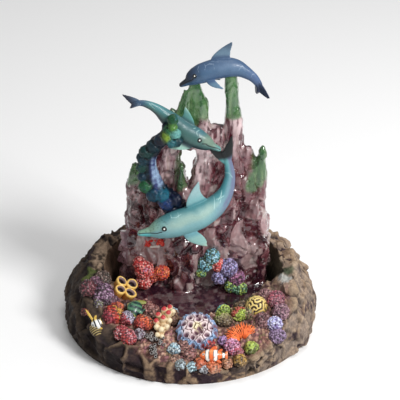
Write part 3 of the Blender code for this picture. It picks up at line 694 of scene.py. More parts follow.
def paint_slate(skin, back, cloud):
    """Slate blue, dark at the beak and the flukes."""
    skin.blend((62, 94, 126))
    skin.blend((60, 86, 118), ease(0.1, 0.9, back))
    # A lighter band along the flank: pearly paint with a painted highlight.
    skin.blend((98, 122, 150), 0.75 * bump(0.52, 0.17, skin.share) * bump(0.45, 0.35, back))
    skin.blend((62, 90, 126), ease(0.1, -0.8, back))
    skin.blend((24, 40, 64), ease(0.32, 0.13, skin.share + 0.06 * cloud) * ease(-0.5, 0.4, back))
    skin.blend((20, 24, 38), ease(0.14, 0.07, skin.share) * ease(-0.1, 0.5, back))
    skin.blend((70, 94, 132), ease(0.66, 0.85, skin.share))
    skin.blend((32, 44, 74), skin.fluke)
    skin.blend((98, 126, 146), 0.85 * skin.dorsal)
    skin.blend((62, 84, 106), skin.dorsal * ease(1.5, 2.5, back))
    skin.blend((96, 128, 152), 0.9 * skin.pectoral)
    skin.blend((128, 150, 164), 0.7 * skin.pectoral * ease(-1.5, -2.4, back))


def paint_teal(skin, back, cloud):
    """Teal green, darker underneath as painted shade, with navy flukes."""
    skin.blend((58, 98, 94))
    skin.blend((56, 98, 102), ease(0.2, 0.9, back))
    skin.blend((70, 126, 132), 0.8 * ease(0.55, 0.75, skin.share) * ease(-0.3, 0.5, back))
    # Painted shade: darker underneath.
    skin.blend((22, 50, 58), ease(-0.15, -0.75, back))
    # Pale green from the melon down the beak: a paint band with a painted highlight.
    skin.blend((112, 136, 118), 0.85 * ease(0.26, 0.17, skin.share) * ease(-0.05, 0.45, back))
    skin.blend((92, 146, 142), ease(0.10, 0.02, skin.share))
    skin.blend((64, 110, 120), bump(0.25, 0.06, skin.share) * ease(0.75, 1.0, back))
    skin.blend((38, 70, 98), ease(0.82, 0.92, skin.share))
    skin.blend((12, 20, 42), ease(0.92, 1.02, skin.share + 0.1 * cloud))
    skin.blend((88, 146, 142), skin.dorsal)
    skin.blend((150, 186, 176), 0.9 * skin.dorsal * ease(1.6, 2.6, back))
    skin.blend((150, 192, 178), 0.9 * skin.pectoral)


def paint_aqua(skin, back, cloud):
    """Light teal, grey blue under the tail, with black flukes."""
    tail = ease(0.5, 0.75, skin.share)
    skin.blend((114, 164, 170))
    skin.blend((74, 136, 144), ease(0.50, 0.95, back))
    # A pale band along the flank: a painted stripe with a painted highlight.
    skin.blend((158, 184, 172), 0.75 * bump(0.42, 0.34, back) * ease(0.14, 0.28, skin.share)
               * (1 - tail))
    skin.blend((68, 138, 148), tail * ease(-0.1, 0.5, back))
    # Grey blue under the tail: its own colour with painted shade on the belly side.
    skin.blend((102, 114, 142), ease(0.45, 0.66, skin.share) * ease(0.15, -0.5, back))
    skin.blend((112, 148, 164), bump(0.05, 0.25, back) * ease(0.5, 0.6, skin.share) * 0.6)
    skin.blend((98, 154, 164), ease(-0.5, -1.0, back) * (1 - tail))
    skin.blend((132, 172, 150), ease(0.24, 0.10, skin.share) * ease(0.15, 0.55, back))
    skin.blend((86, 176, 180), ease(0.14, 0.06, skin.share) * ease(0.35, 0.0, back))
    skin.blend((98, 166, 168), ease(0.86, 0.92, skin.share) * ease(-0.2, 0.3, back))
    skin.blend((4, 14, 16), ease(0.925, 0.965, skin.share + 0.05 * cloud))
    first, _, number, _ = grains(skin.points, 0.9, 33)
    skin.blend((26, 44, 46), 0.8 * (first < 0.34) * (number > 0.45) * ease(0.3, 0.18, skin.share)
               * ease(0.25, 0.7, back))
    skin.blend((148, 182, 184), 0.9 * skin.dorsal)
    skin.blend((110, 166, 170), skin.dorsal * ease(2.2, 1.2, back))
    skin.blend((138, 182, 176), 0.9 * skin.pectoral)
    skin.blend((182, 208, 182), skin.pectoral * ease(-1.7, -2.8, back))


MOUTH_WIDTH = 0.30
MOUTH_DEPTH = 0.97

# Each dolphin's looks: names, layout and paint, then its marks, given by share of the length and
# height on the body; the cloud is the depth, size and seed of its colours' unevenness
DOLPHINS = (
    {
        "finish": "slate_paint", "piece": "slate_dolphin",
        "slot": "slate_blue_paint", "solid": "dolphin_top",
        "layout": TOP, "paint": paint_slate, "cloud": (0.12, 5.0, 11), "tone": (0.9, 1.08),
        "mouth": ((0.004, 0.55), (0.044, 0.45), (0.10, 0.30), (0.150, 0.14), (0.172, 0.24)),
        "eye": (0.200, 0.40), "eye_radius": 1.35, "mouth_colour": (10, 10, 18),
        "line_look": ((158, 176, 196), 0.13, 0.7), "line_side": 1,
        "lines": (((0.25, 0.55), (0.25, 0.8), (0.269, 0.95)),
                  ((0.312, 0.55), (0.331, 0.8), (0.325, 0.95)),
                  ((0.406, 0.4), (0.412, 0.8), (0.37, 0.92)),
                  ((0.388, 0.99), (0.42, 0.93), (0.456, 0.85)),
                  ((0.33, 0.84), (0.37, 0.88), (0.40, 0.80)),
                  ((0.644, 0.2), (0.662, 0.8), (0.713, 0.45)),
                  ((0.80, 0.15), (0.79, 0.6), (0.812, 0.95)),
                  ((0.64, 0.86), (0.70, 0.7), (0.75, 0.75))),
    },
    {
        "finish": "teal_paint", "piece": "teal_dolphin",
        "slot": "teal_green_paint", "solid": "dolphin_middle",
        "layout": MIDDLE, "paint": paint_teal, "cloud": (0.15, 5.0, 21), "tone": (0.88, 1.1),
        "mouth": ((0.004, 0.5), (0.03, 0.45), (0.087, 0.15), (0.125, 0.12), (0.163, 0.25),
                  (0.194, 0.10)),
        "eye": (0.231, 0.35), "eye_radius": 1.5, "mouth_colour": (8, 18, 26),
        "line_look": ((176, 212, 208), 0.16, 0.8), "line_side": -1,
        "lines": (((0.275, 0.98), (0.294, 0.85), (0.269, 0.6)), ((0.338, 0.9), (0.319, 0.98)),
                  ((0.838, 0.6), (0.80, 0.2), (0.77, 0.1)),
                  ((0.60, 0.85), (0.64, 0.6), (0.69, 0.55))),
    },
    {
        "finish": "aqua_paint", "piece": "aqua_dolphin",
        "slot": "light_teal_paint", "solid": "dolphin_lower",
        "layout": LOWER, "paint": paint_aqua, "cloud": (0.12, 6.0, 31), "tone": (0.9, 1.08),
        "mouth": ((0.004, 0.5), (0.03, 0.45), (0.094, 0.22), (0.14, 0.08), (0.178, 0.12)),
        "eye": (0.200, 0.35), "eye_radius": 1.75, "mouth_colour": (14, 30, 32),
        "line_look": ((186, 224, 222), 0.17, 0.8), "line_side": 1,
        "lines": (((0.312, 0.98), (0.306, 0.75)), ((0.263, 0.98), (0.263, 0.86)),
                  ((0.619, 0.95), (0.58, 0.6), (0.55, 0.25)),
                  ((0.613, 0.7), (0.645, 0.45), (0.675, 0.25)),
                  ((0.613, 0.2), (0.65, 0.4), (0.688, 0.65)),
                  ((0.844, 0.9), (0.844, 0.1), (0.812, -0.45)),
                  ((0.36, -0.6), (0.37, -0.9)), ((0.26, 0.86), (0.29, 0.80), (0.33, 0.88)),
                  ((0.70, 0.75), (0.66, 0.55), (0.62, 0.5))),
    },
)


def dolphin(look, eyes):
    """A painted dolphin and its eyes."""
    form = Dolphin(*look["layout"])
    skin = shaped_dolphin(form, look["mouth"], look["eye"])
    depth, size, seed = look["cloud"]
    cloud = depth * wander(skin.points, size, seed, 2)
    look["paint"](skin, skin.height + cloud, cloud)
    drawn = [form.trace(skin, line, look["line_side"]) for line in look["lines"]]
    skin.mark("lines", np.min(drawn, axis=0))
    marks = (("lines", *look["line_look"]),
             ("mouth", look["mouth_colour"], MOUTH_WIDTH, MOUTH_DEPTH))
    finish = painted(look["finish"], roughness=(0.38, 0.55), tone=look["tone"], tone_scale=1400,
                     coat=0.12, lines=marks)
    skin.piece(look["piece"], finish, look["slot"], look["solid"])
    eye_piece(look["piece"] + "_eyes", form, look["eye"], look["eye_radius"], eyes, look["slot"])


# The coral stem: its line, its thickness, and its knobs with their colours

NIGHT = (10, 20, 34)
STEM_PATH = (
    (-13.4, -6.5, 138.0), (-15.5, -6.5, 129.5), (-21.4, -5, 122.8), (-26.0, -4, 113.0),
    (-26.4, -4, 103.0), (-23.6, -4, 91.8), (-17.6, -4, 83.4), (-10.6, -4, 78.4), (-5.0, -3, 75.5),
)
STEM_RADII = (3.4, 4.2, 4.8, 4.6, 4.8, 6.2, 6.8, 6.6, 4.6)
STEM_KNOBS = (
    ((-10.6, -8.0, 141.8), 3.6, (30, 76, 48)), ((-10.9, -9.6, 137.0), 3.2, (76, 122, 50)),
    ((-12.6, -8.8, 134.4), 3.6, (44, 98, 62)), ((-15.0, -9.8, 130.2), 3.4, (118, 146, 44)),
    ((-8.8, -10.0, 132.6), 3.4, (104, 164, 156)), ((-8.0, -9.0, 127.0), 3.4, (20, 54, 62)),
    ((-12.0, -9.8, 126.6), 3.4, (40, 100, 108)), ((-18.8, -9.2, 127.6), 4.6, (22, 24, 36)),
    ((-23.4, -8.4, 123.0), 4.4, (16, 42, 50)), ((-28.0, -7.2, 118.4), 4.6, (20, 54, 52)),
    ((-30.4, -6.0, 112.4), 4.2, (16, 46, 58)), ((-31.0, -5.8, 106.2), 3.8, (20, 60, 52)),
    ((-30.6, -6.0, 99.6), 3.8, (16, 46, 62)), ((-29.0, -7.6, 92.8), 4.8, (34, 88, 52)),
    ((-23.6, -8.8, 87.6), 5.4, (18, 56, 74)), ((-18.4, -9.6, 87.2), 4.8, (28, 90, 110)),
    ((-15.0, -9.2, 81.0), 5.2, (24, 52, 104)), ((-9.8, -8.4, 82.6), 4.6, (14, 22, 52)),
    ((-13.0, -7.0, 76.5), 5.4, (12, 22, 46)), ((-7.0, -6.0, 77.0), 5.0, (12, 22, 50)),
)
FLUTE_SHARES = (0.36, 0.66)
FLUTES = 6
STEM_LEVELS = 70
STEM_SIDES = 32


def coral_stem():
    """The knobbly navy and green stem, with a fluted pale inner side."""
    spine = Spine(STEM_PATH, (0, -1, 0))
    shares = np.linspace(0, 1, STEM_LEVELS)
    point, flank, back, _ = spine.at(shares)
    radius = np.interp(shares, np.linspace(0, 1, len(STEM_RADII)), STEM_RADII)
    turn = turns(STEM_SIDES)[None, :, None]
    around = flank[:, None] * np.cos(turn) + back[:, None] * np.sin(turn)
    parts = [loft(point[:, None] + around * radius[:, None, None])]
    parts += [ball(place(spot), size) for spot, size, _ in STEM_KNOBS]
    skin = cast(parts, STEM_GRAIN)
    skin.relax(2)
    share, side, inner = spine.locate(skin.points)
    inward = ease(-0.5, 2.5, inner) * ease(-2.5, 1.0, side)
    start, end = FLUTE_SHARES
    fluted = inward * ease(start - 0.05, start + 0.03, share) * ease(end + 0.06, end - 0.02, share)
    wave = np.cos(2 * np.pi * FLUTES * (share - start) / (end - start))
    near, _, _, _ = grains(skin.points, 3.4, 41)
    lumps = 0.75 * (0.55 - near) * (1 - fluted)
    skin.swell(lumps + 0.10 * wave * fluted + 0.55 * wander(skin.points, 2.4, 43, 2)
               * (1 - 0.5 * fluted))
    height = skin.relief(14)
    skin.blend(NIGHT)
    for spot, size, colour in STEM_KNOBS:
        far = skin.away(place(spot))
        skin.blend(colour, ease(size + 1.8, size - 0.4, far) * ease(-0.5, 0.1, height))
    tint = wander(skin.points, 4.0, 45, 2)
    # Teal and blue on the raised lumps: the coral's own mottling with a painted sheen.
    skin.blend((34, 92, 110), 0.6 * ease(0.3, 0.9, tint) * ease(0.0, 0.5, height))
    skin.blend((36, 44, 100), 0.6 * ease(0.25, 0.8, -tint) * ease(0.0, 0.4, height)
               * ease(0.3, 0.8, share))
    # Painted shade: near black in the recesses.
    skin.blend((5, 9, 16), 0.85 * ease(0.0, -0.45, height))
    folds_and_shading = 0.12 * wave + 0.8 * wander(skin.points, (2.2, 2.2, 6.5), 47)
    # Paler towards the inner edge: painted shading across the fluted side.
    folds_and_shading = folds_and_shading + 0.9 * ease(0.5, 6.0, inner) - 0.4
    pale = mix(srgb((46, 54, 104)), srgb((150, 176, 206)), ease(-0.5, 0.7, folds_and_shading)[:, None])
    skin.paint = mix(skin.paint, pale, 0.92 * fluted[:, None])
    skin.blend((8, 16, 38), ease(0.80, 0.93, share) * 0.85)
    finish = painted("stem_paint", roughness=(0.32, 0.5), tone=(0.65, 1.3), tone_scale=1100,
                     coat=0.05, grain=0.2, Specular_IOR_Level=0.25)
    skin.piece("painted_coral_stem", finish, "navy_coral_paint", "coral_stem")


# The coral clumps on the crag's foot: each lobe's place, size, and the colours of its grains

CORAL_RED = ((216, 70, 62), (184, 34, 34), (240, 160, 152))
CORAL_ORANGE = ((224, 84, 48), (234, 122, 66), (190, 52, 44))
CORAL_SKY = ((160, 206, 222), (110, 170, 186), (70, 100, 66))
CORAL_LIME = ((170, 196, 88), (110, 160, 128), (50, 80, 46))
CORAL_HAZE = ((158, 156, 208), (176, 162, 206), (112, 94, 134))
CORAL_ROSE = ((178, 116, 154), (138, 92, 132), (110, 62, 84))
CLUMP_LEFT = (
    ((-31.5, -1.5, 22.5), 6.4, CORAL_RED), ((-34.6, -0.5, 27.5), 4.6, CORAL_RED),
    ((-31.6, -3.0, 14.5), 5.6, CORAL_RED), ((-25.6, -2.0, 18.5), 4.6, CORAL_ORANGE),
    ((-19.5, -2.0, 20.8), 5.4, CORAL_ORANGE),
)
CLUMP_SPECKS = (
    ((-30.0, -6.0, 24.5), 4.6, (150, 110, 170)), ((-26.0, -6.0, 19.5), 3.6, (170, 90, 150)),
)
CLUMP_RIGHT = (
    ((14.9, -2.0, 34.4), 5.4, CORAL_SKY), ((10.2, -2.5, 28.4), 5.2, CORAL_SKY),
    ((7.4, -3.5, 22.8), 4.0, CORAL_LIME), ((19.4, -2.5, 27.5), 4.8, CORAL_RED),
    ((26.0, -3.0, 25.8), 6.4, CORAL_HAZE), ((19.6, -4.5, 18.8), 5.0, CORAL_HAZE),
    ((31.5, -4.0, 18.4), 5.6, CORAL_ROSE), ((28.4, -6.0, 12.6), 4.6, CORAL_LIME),
    ((34.6, -6.5, 10.6), 4.6, CORAL_LIME),
)
# Painted shade between the beads of the clumps.
GAP_SHADE = (26, 18, 24)


def grained(skin, size, height, seed):
    """Cover a skin with beads: how near each point is to a bead's top, and the bead's number."""
    first, _, number, _ = grains(skin.points, size, seed)
    top = ease(0.72, 0.15, first)
    skin.swell(height * (top - 0.35) + 0.3 * height * (number - 0.5))
    return top, number


def bead_colours(skin, top, number, colours, share, deep=GAP_SHADE):
    """Beads in one of a few colours each, painted shade between, a painted highlight on some."""
    for k, colour in enumerate(colours):
        chosen = (number >= k / len(colours)) & (number < (k + 1) / len(colours) + 1e-6)
        skin.blend(colour, share * chosen)
    # Painted shade between the beads.
    skin.blend(deep, share * ease(0.34, 0.0, top) * 0.85)
    # Painted highlight on some bead tops.
    skin.blend((255, 255, 255), share * 0.22 * ease(0.6, 1.0, top) * (np.mod(number * 64, 1) > 0.4))


def clump(name, lobes, finish, slot, node_name, seed, specks=()):
    """A cast of granular coral lobes."""
    skin = cast([ball(place(spot), size) for spot, size, _ in lobes], CLUMP_GRAIN)
    skin.relax(2)
    skin.swell(0.35 * wander(skin.points, 4.0, seed, 2))
    top, number = grained(skin, 1.3, 0.8, seed)
    reach = np.stack([skin.away(place(spot)) / size for spot, size, _ in lobes], 1)
    own = reach.argmin(1)
    for k, (_, _, colours) in enumerate(lobes):
        bead_colours(skin, top, number, colours, (own == k).astype(float))
    for spot, size, colour in specks:
        far = skin.away(place(spot))
        skin.blend(colour, ease(size, 0.3 * size, far) * ease(0.3, 0.9, top) * (number > 0.35))
    skin.piece(name, finish, slot, node_name)


# The crag: pillars as levels of height, left, right, front and back

PILLAR_SIDES = 8
FOOT_SIDES = 14
PILLAR_ROUGHNESS = 0.16
PILLAR_ROUNDNESS = 0.7
PILLARS = (
    ("foot", ((2, -49, 52, -2, 40), (16, -48, 54, -3, 40), (35, -47, 54.4, -2, 36),
              (50, -45.5, 53.5, 0, 32), (60, -43, 51, 1, 28), (72, -38, 46, 3, 24))),
    ("left", ((6, -50.4, -30, 2, 24), (26, -49, -28, 1, 22), (44, -47, -28, 2, 20),
              (53, -45.6, -28, 2, 19), (62, -43.4, -29, 3, 17), (83, -42.8, -30, 4, 15),
              (93, -41.6, -31.5, 5, 13), (101.5, -38.6, -36, 7, 10))),
    ("middle_left", ((40, -36, -6, 1, 26), (88, -30, -5, 1.5, 21), (110, -25, -5.5, 2, 19),
                     (124, -20, -5.5, 4, 18), (133, -15, -7, 7, 17),
                     (139.5, -12.6, -10.6, 10, 14))),
    ("thorn", ((70, -12, -1.5, -4, 8), (84, -10.4, -2.6, -3.6, 8), (93, -8.6, -3.4, -3, 6),
               (100, -7.0, -4.2, -2.4, 4.5), (105.5, -5.9, -5.1, -1.4, 3.0))),
    ("west_slope", ((112, -18, -5, 4, 15), (124, -15, -4, 5, 15), (134, -11.5, -3, 6, 14),
                    (145, -7.4, -1, 8, 13), (154, -3.4, 1, 10, 12))),
    ("crest", ((146, -4, 8, 9, 17), (154, -1.6, 7.0, 10, 16), (160.5, 0.6, 5.2, 12, 15),
               (163, 1.6, 4.0, 13, 14.5))),
    ("middle", ((40, -8, 24, 0, 26), (84, -3, 21, 2, 22), (100, -1.6, 19, 3, 20),
                (116, -6.5, 16.5, 4, 19), (127, -5.8, 15, 6, 19), (137, -5, 13.8, 8, 19),
                (144, -3.6, 12.6, 9, 19), (150, -2.4, 9.4, 10, 18), (159, 0, 5.2, 12, 17))),
    ("saddle", ((96, 8, 24, 5, 20), (116, 11, 24, 7, 20), (126.5, 13.5, 22.5, 9, 17))),
    ("right_column", ((40, 16, 42, 0, 26), (90, 19, 38, 3, 22), (112, 20.5, 36.4, 6, 21),
                      (128, 21.6, 35.8, 7, 20), (138, 22.4, 33.6, 8, 20), (148, 22.6, 32.4, 9, 20),
                      (163.5, 22.2, 31.6, 11, 19))),
    ("shoulder",
     ((40, 30, 52, 2, 24), (88, 32, 45, 4, 20), (104, 34, 43.4, 6, 18),
      (111.5, 35.5, 40.4, 8, 15))),
    ("right_peak", ((4, 34, 54, 0, 24), (35, 36, 54.8, 0, 22), (60, 37, 53, 1, 20),
                    (66, 38, 50.8, 2, 18), (74, 39, 50.8, 3, 17), (84, 40, 52.2, 3, 16),
                    (99, 41.5, 51.8, 5, 14), (108, 44.4, 51, 6, 12), (114, 47.4, 49.2, 8, 10))),
    ("back_left",
     ((2.6, -40, 10, 18, 43), (44, -34, 8, 18, 39), (74, -26, 6, 16, 33), (92, -16, 2, 15, 27))),
    ("back_right",
     ((3.2, -6, 42, 18, 44), (50, -2, 38, 18, 38), (80, 4, 32, 16, 33), (104, 14, 28, 15, 26))),
    ("front_bulge", ((28, -2, 32, 0.5, 12), (50, -4, 34, -3, 12), (66, 0, 34, -4, 12),
                     (80, 8, 34, -3, 12), (98, 18, 33, 0, 12))),
    ("front_ridge",
     ((4, -16, 3, -10, 7), (16, -12, 4, -7.5, 7), (30, -5, 5.5, -5.5, 7), (42, 1, 7, -3, 7))),
)
WINDOW = ((-3.6, 0.6, 85.5), (-4.2, 2.4, 97.0), (-5.2, 4.8, 110.0), (-3.6, 3.8, 115.5))
WINDOW_FRONT = -4
WINDOW_BACK = 34
SIGHT_DROP = 0.3
GREEN_TIPS = (
    ((2.0, 160.0), (-3.0, 136.0), 8.5), ((8.0, 150.0), (11.0, 139.0), 5.0),
    ((28.0, 165.0), (29.3, 142.0), 7.5), ((-37.0, 102.0), (-38.0, 93.0), 5.0),
    ((49.4, 114.0), (44.6, 90.0), 4.4), ((44.0, 92.0), (41.4, 84.0), 3.0),
    ((-5.2, 106.0), (-6.2, 90.0), 2.2),
)
GREEN_BACK = 24
GLOWS = (
    (17.0, 47.0, 16.0, 13.0), (46.0, 35.0, 12.0, 15.0), (8.0, 70.0, 10.0, 16.0),
    (-18.0, 40.0, 10.0, 9.0), (9.0, 104.0, 8.0, 12.0),
)
SEALED_KNOBS = (
    ((-29.4, 2.4, 43.0), 1.9), ((-28.2, 2.2, 40.6), 1.5), ((-30.8, 2.4, 40.8), 1.3),
    ((-26.6, 2.4, 44.2), 1.2), ((-20.2, 2.4, 43.8), 2.0), ((-18.8, 2.2, 41.4), 1.4),
    ((-22.0, 2.4, 41.8), 1.3), ((-23.8, 2.6, 44.4), 1.0),
)
SEALED_BAR = ((-26.8, 1.8, 39.4), (-21.6, 1.8, 39.8), 0.9)
SEALED_STEPS = 8
POOL_SIDES = 144


def pillar(name, levels, sides=PILLAR_SIDES):
    """One rough pillar: its points and faces."""
    rings = []
    for index, (height, left, right, front, back) in enumerate(levels):
        ring = []
        for i in range(sides):
            angle = 2 * math.pi * (i + 0.5 * (index % 2)) / sides
            rough = 1 - PILLAR_ROUGHNESS * chance(name, index, i)
            across = math.copysign(abs(math.cos(angle)) ** PILLAR_ROUNDNESS, math.cos(angle))
            across *= rough
            along = math.copysign(abs(math.sin(angle)) ** PILLAR_ROUNDNESS, math.sin(angle)) * rough
            ring.append(place((mix(left, right, 0.5 + 0.5 * across),
                               mix(front, back, 0.5 + 0.5 * along),
                               height)))
        rings.append(ring)
    return loft(rings)


def pool():
    """The flat pool, which runs into the bowl's wall in front."""
    angles = turns(POOL_SIDES)
    rings = []
    for height in (FLOOR - POOL_SPILL, POOL_TOP):
        wall = bowl_radius_at(angles, height) + POOL_SPILL
        radius = mix(np.minimum(wall, CRAG_HALF_WIDTH), wall, ease(-0.25, 0.35, -np.sin(angles)))
        rings.append(base_point(angles, radius, np.full(len(angles), height)))
    return loft(rings)


def crag_mesh():
    """Pillars and pool in one, with the window cut through."""
    parts = [pillar(name, levels, FOOT_SIDES if name == "foot" else PILLAR_SIDES)
             for name, levels in PILLARS]
    mesh = settled(mesh_of(*joined(parts + [pool()])),
                   REMESH={"mode": "VOXEL", "voxel_size": CRAG_GRAIN})
    rings = []
    for y in (WINDOW_FRONT, WINDOW_BACK):
        drop = SIGHT_DROP * (y - WINDOW_FRONT)
        left = [place((x, y, z - drop)) for x, _, z in WINDOW]
        rings.append(left + [place((x, y, z - drop)) for _, x, z in reversed(WINDOW)])
    cutter = shown("window", mesh_of(*loft(rings)))
    mesh = settled(mesh,
                   BOOLEAN={"operation": "DIFFERENCE", "solver": "MANIFOLD", "object": cutter})
    bpy.data.objects.remove(cutter)
    return settled(mesh, REMESH={"mode": "VOXEL", "voxel_size": CRAG_GRAIN})


def green_tips(points, height, uneven):
    """Where the green paint lies: 1 on the tips, 0 away from them."""
    green = np.zeros(len(points))
    for start, end, reach in GREEN_TIPS:
        start, end = np.array(start), np.array(end)
        flat = np.stack([points[:, 0], height], 1) - start
        along = ((flat @ (end - start)) / ((end - start) ** 2).sum()).clip(0, 1)
        far = np.linalg.norm(flat - along[:, None] * (end - start), axis=1)
        green = np.maximum(green,
                           ease(reach + 3.5, reach - 0.5, far + uneven * ease(0.2, 0.9, along)))
    return green * (points[:, 1] < GREEN_BACK)


def clear_crag():
    """The clear rose resin, chipped all over, streaked maroon, with green paint on its tips."""
    skin = Skin(crag_mesh())
    skin.relax(2)
    points = skin.points
    height = points[:, 2] - FLOOR
    still = ease(POOL_TOP + 0.2, POOL_TOP + 3.0, points[:, 2])
    warped = points + 3.4 * np.stack([wander(points, 13.0, 64 + k) for k in range(3)], 1)
    first, second, large, way = grains(warped, (9.0, 9.0, 17.0), 51)
    edge_glint = ease(0.14, 0.02, second - first)
    upper = ease(72, 94, height)
    slim = np.maximum(ease(92, 116, height),
                      ease(36, 44, np.abs(points[:, 0])) * ease(70, 96, height))
    chips = mix(4.2, 2.4, upper) * facet(way, large, (40, 57, 91), 0.6)
    chips = chips * ease(0.0, 0.12, second - first)
    first, second, number, way = grains(warped, (4.0, 4.0, 7.5), 53)
    chips = chips + facet(way, number, (47, 61, 83), 0.8) * ease(0.0, 0.25, second - first)
    streak = wander(points, (2.4, 2.4, 26.0), 55, 2)
    chips = chips + mix(0.5, 0.9, upper) * (streak + wander(points, (6.0, 6.0, 44.0), 56))
    ripple = 0.25 * wander(points, (7.0, 7.0, 7.0), 58)
    skin.swell(mix(ripple, chips * (1 - 0.6 * slim), still))
    skin.mark("chipped", still * (1 - 0.7 * upper))
    tone = wander(points, (5.0, 5.0, 11.0), 57, 3)
    tone = mix(0.25 * tone + 1.7 * (large - 0.5) + 1.3 * (number - 0.5), tone, upper)
    fleck = wander(points, (1.6, 1.6, 4.5), 59, 2) * mix(0.15, 1.0, upper)
    near, _, glint_pick, _ = grains(points, (1.8, 1.8, 2.8), 60)
    glow = np.maximum.reduce([bump(0, 1, np.hypot((points[:, 0] - x) / wide, (height - z) / tall))
                              for x, z, wide, tall in GLOWS])
    dusk = ease(-12, -24, points[:, 0]) * ease(44, 58, height) * ease(96, 84, height)
    skin.blend((148, 82, 92))
    skin.blend((220, 178, 180), 0.9 * ease(0.0, 0.8, tone + 1.0 * glow))
    skin.blend((78, 14, 32), 0.92 * ease(0.0, 0.6, -tone - 0.9 * glow))
    low = ease(62, 34, height)
    skin.blend((196, 164, 162), 0.75 * low * ease(-0.3, 0.5, fleck + tone + 0.9 * glow))
    skin.blend((70, 34, 48), 0.8 * low * ease(0.1, 0.7, -fleck - tone - 0.9 * glow))
    skin.blend((72, 10, 20), 0.95 * dusk * ease(1.2, 0.2, tone))
    wine = ease(10, 17, points[:, 0]) * ease(126, 108, height)
    # Near white high up where the resin is thin: frosted resin with painted light showing through
    # it.
    frost_and_backlight = ease(74, 104, height + 8 * tone - 18 * wine) * (1 - 0.8 * dusk)
    skin.blend((252, 222, 224), 0.92 * frost_and_backlight)
    skin.blend((122, 34, 54), 0.8 * frost_and_backlight * ease(0.2, 0.65, -tone - 0.6 * glow))
    skin.blend((84, 10, 32), 0.95 * frost_and_backlight * ease(0.02, 0.20, streak + 0.35 * fleck - 0.3 * glow))
    skin.blend((186, 160, 142), 0.5 * frost_and_backlight * ease(0.3, 0.8, -streak))
    vein = np.abs(wander(points, (8.0, 8.0, 17.0), 62, 2))
    skin.blend((70, 6, 28), 0.9 * frost_and_backlight * ease(0.20, 0.07, vein) * (1 - 0.8 * glow))
    skin.blend((100, 24, 38), 0.85 * wine * ease(58, 80, height) * ease(-0.7, 0.2, tone + fleck))
    # Painted glints: pale specks on a few of the small facets.
    skin.blend((236, 216, 210), 0.8 * (number > 0.92) * ease(0.0, 0.2, second - first)
               * ease(0.5, 0.1, dusk))
    # Painted highlights along the edges of the large facets, low down.
    skin.blend((240, 214, 212), 0.5 * edge_glint * (1 - upper) * (1 - 0.8 * dusk)
               * ease(-0.6, 0.4, fleck + tone))
    # Painted glints: small white specks.
    skin.blend((255, 246, 242), 0.9 * (glint_pick > 0.94) * ease(0.5, 0.3, near))
    # Painted highlight: pink along the crag's lower left side.
    skin.blend((206, 156, 172), 0.6 * ease(-40, -47, points[:, 0]) * ease(96, 60, height))
    green = green_tips(points, height, 3.0 * tone + 1.5 * streak + 1.0 * fleck)
    skin.blend((70, 126, 68), 0.94 * green)
    skin.blend((34, 82, 46), 0.8 * green * ease(0.1, 0.6, streak + 0.4 * tone))
    # Paler green streaks on the tips, painted as highlights.
    skin.blend((150, 178, 126), 0.5 * green * ease(0.15, 0.8, -streak - 0.3 * fleck))
    water = 1 - ease(POOL_TOP - 0.6, POOL_TOP + 0.9, points[:, 2])
    skin.blend((58, 34, 50), water)
    skin.blend((96, 68, 82), 0.4 * water * ease(0.0, 0.8, wander(points, 9.0, 61, 2)))
    finish = painted("clear_resin", roughness=(0.05, 0.16), tone=(0.9, 1.1), tone_scale=500,
                     grain=0.25, grain_scale=700, coat=1.0, chips=230.0, Transmission_Weight=0.5,
                     IOR=1.46)
    skin.piece("clear_crag", finish, "clear_rose_resin", "crystal_crag")


def sealed_coral(finish):
    """The small red coral sealed in the clear resin, with its pale bar."""
    start, end, radius = SEALED_BAR
    bar = [place(mix(np.array(start), np.array(end), share))
           for share in np.linspace(0, 1, SEALED_STEPS)]
    parts = [ball(place(spot), size) for spot, size in SEALED_KNOBS]
    parts += [ball(spot, radius) for spot in bar]
    skin = cast(parts, SEALED_GRAIN)
    first, _, number, _ = grains(skin.points, 1.1, 63)
    skin.swell(0.35 * ease(0.6, 0.1, first) * (skin.points[:, 2] > FLOOR + 40.0))
    skin.blend((204, 38, 34))
    skin.blend((228, 92, 70), 0.7 * (number > 0.6))
    near = np.min([skin.away(spot) for spot in bar], axis=0)
    skin.blend((226, 216, 208), ease(radius + 0.5, radius + 0.1, near))
    skin.piece("sealed_red_coral", finish, "red_coral_paint")


# The rock base

def base_point(angle, radius, height):
    """Points of the base at directions, radii and heights."""
    return np.stack((radius * np.cos(angle), radius * np.sin(angle) * DEPTH_RATIO, height), -1)


def wall_radius_at(height):
    """The outer wall leans in more and more above its plumb foot."""
    plumb = PLUMB_SHARE * WALL
    return FOOT - WALL_RUN * np.clip((height - plumb) / (WALL - plumb), 0, 1) ** WALL_CURVE


def edges_at(angle):
    """Radius and height of the bowl's lip and of the outer shoulder, in each direction."""
    front = -np.sin(angle)
    bowl = BOWL + BOWL_SHIFT * np.cos(angle)
    lip_radius = mix(bowl, POOL_REACH / DEPTH_RATIO, ease(0.05, 0.62, front))
    lip_height = mix(WALL, POOL_LIP, ease(0.0, 0.6, front))
    shoulder = mix(WALL, FRONT_WALL, ease(0.15, 1.0, front))
    return lip_radius, lip_height, wall_radius_at(shoulder), shoulder


def bowl_radius_at(angle, height):
    """The bowl's wall leans out from the floor to the lip."""
    lip_radius, lip_height, _, _ = edges_at(angle)
    return lip_radius - BOWL_WALL_RUN * (lip_height - height) / (lip_height - FLOOR)


def reef_point(angle, share):
    """Points of the ground between the bowl's lip, share 0, and the outer shoulder, share 1."""
    lip_radius, lip_height, shoulder_radius, shoulder = edges_at(angle)
    crown = CROWN * ease(0.1, 0.8, -np.sin(angle)) * np.sin(np.pi * np.clip(share, 0, 1))
    return base_point(angle, mix(lip_radius, shoulder_radius, share),
                      mix(lip_height, shoulder, share) + crown)


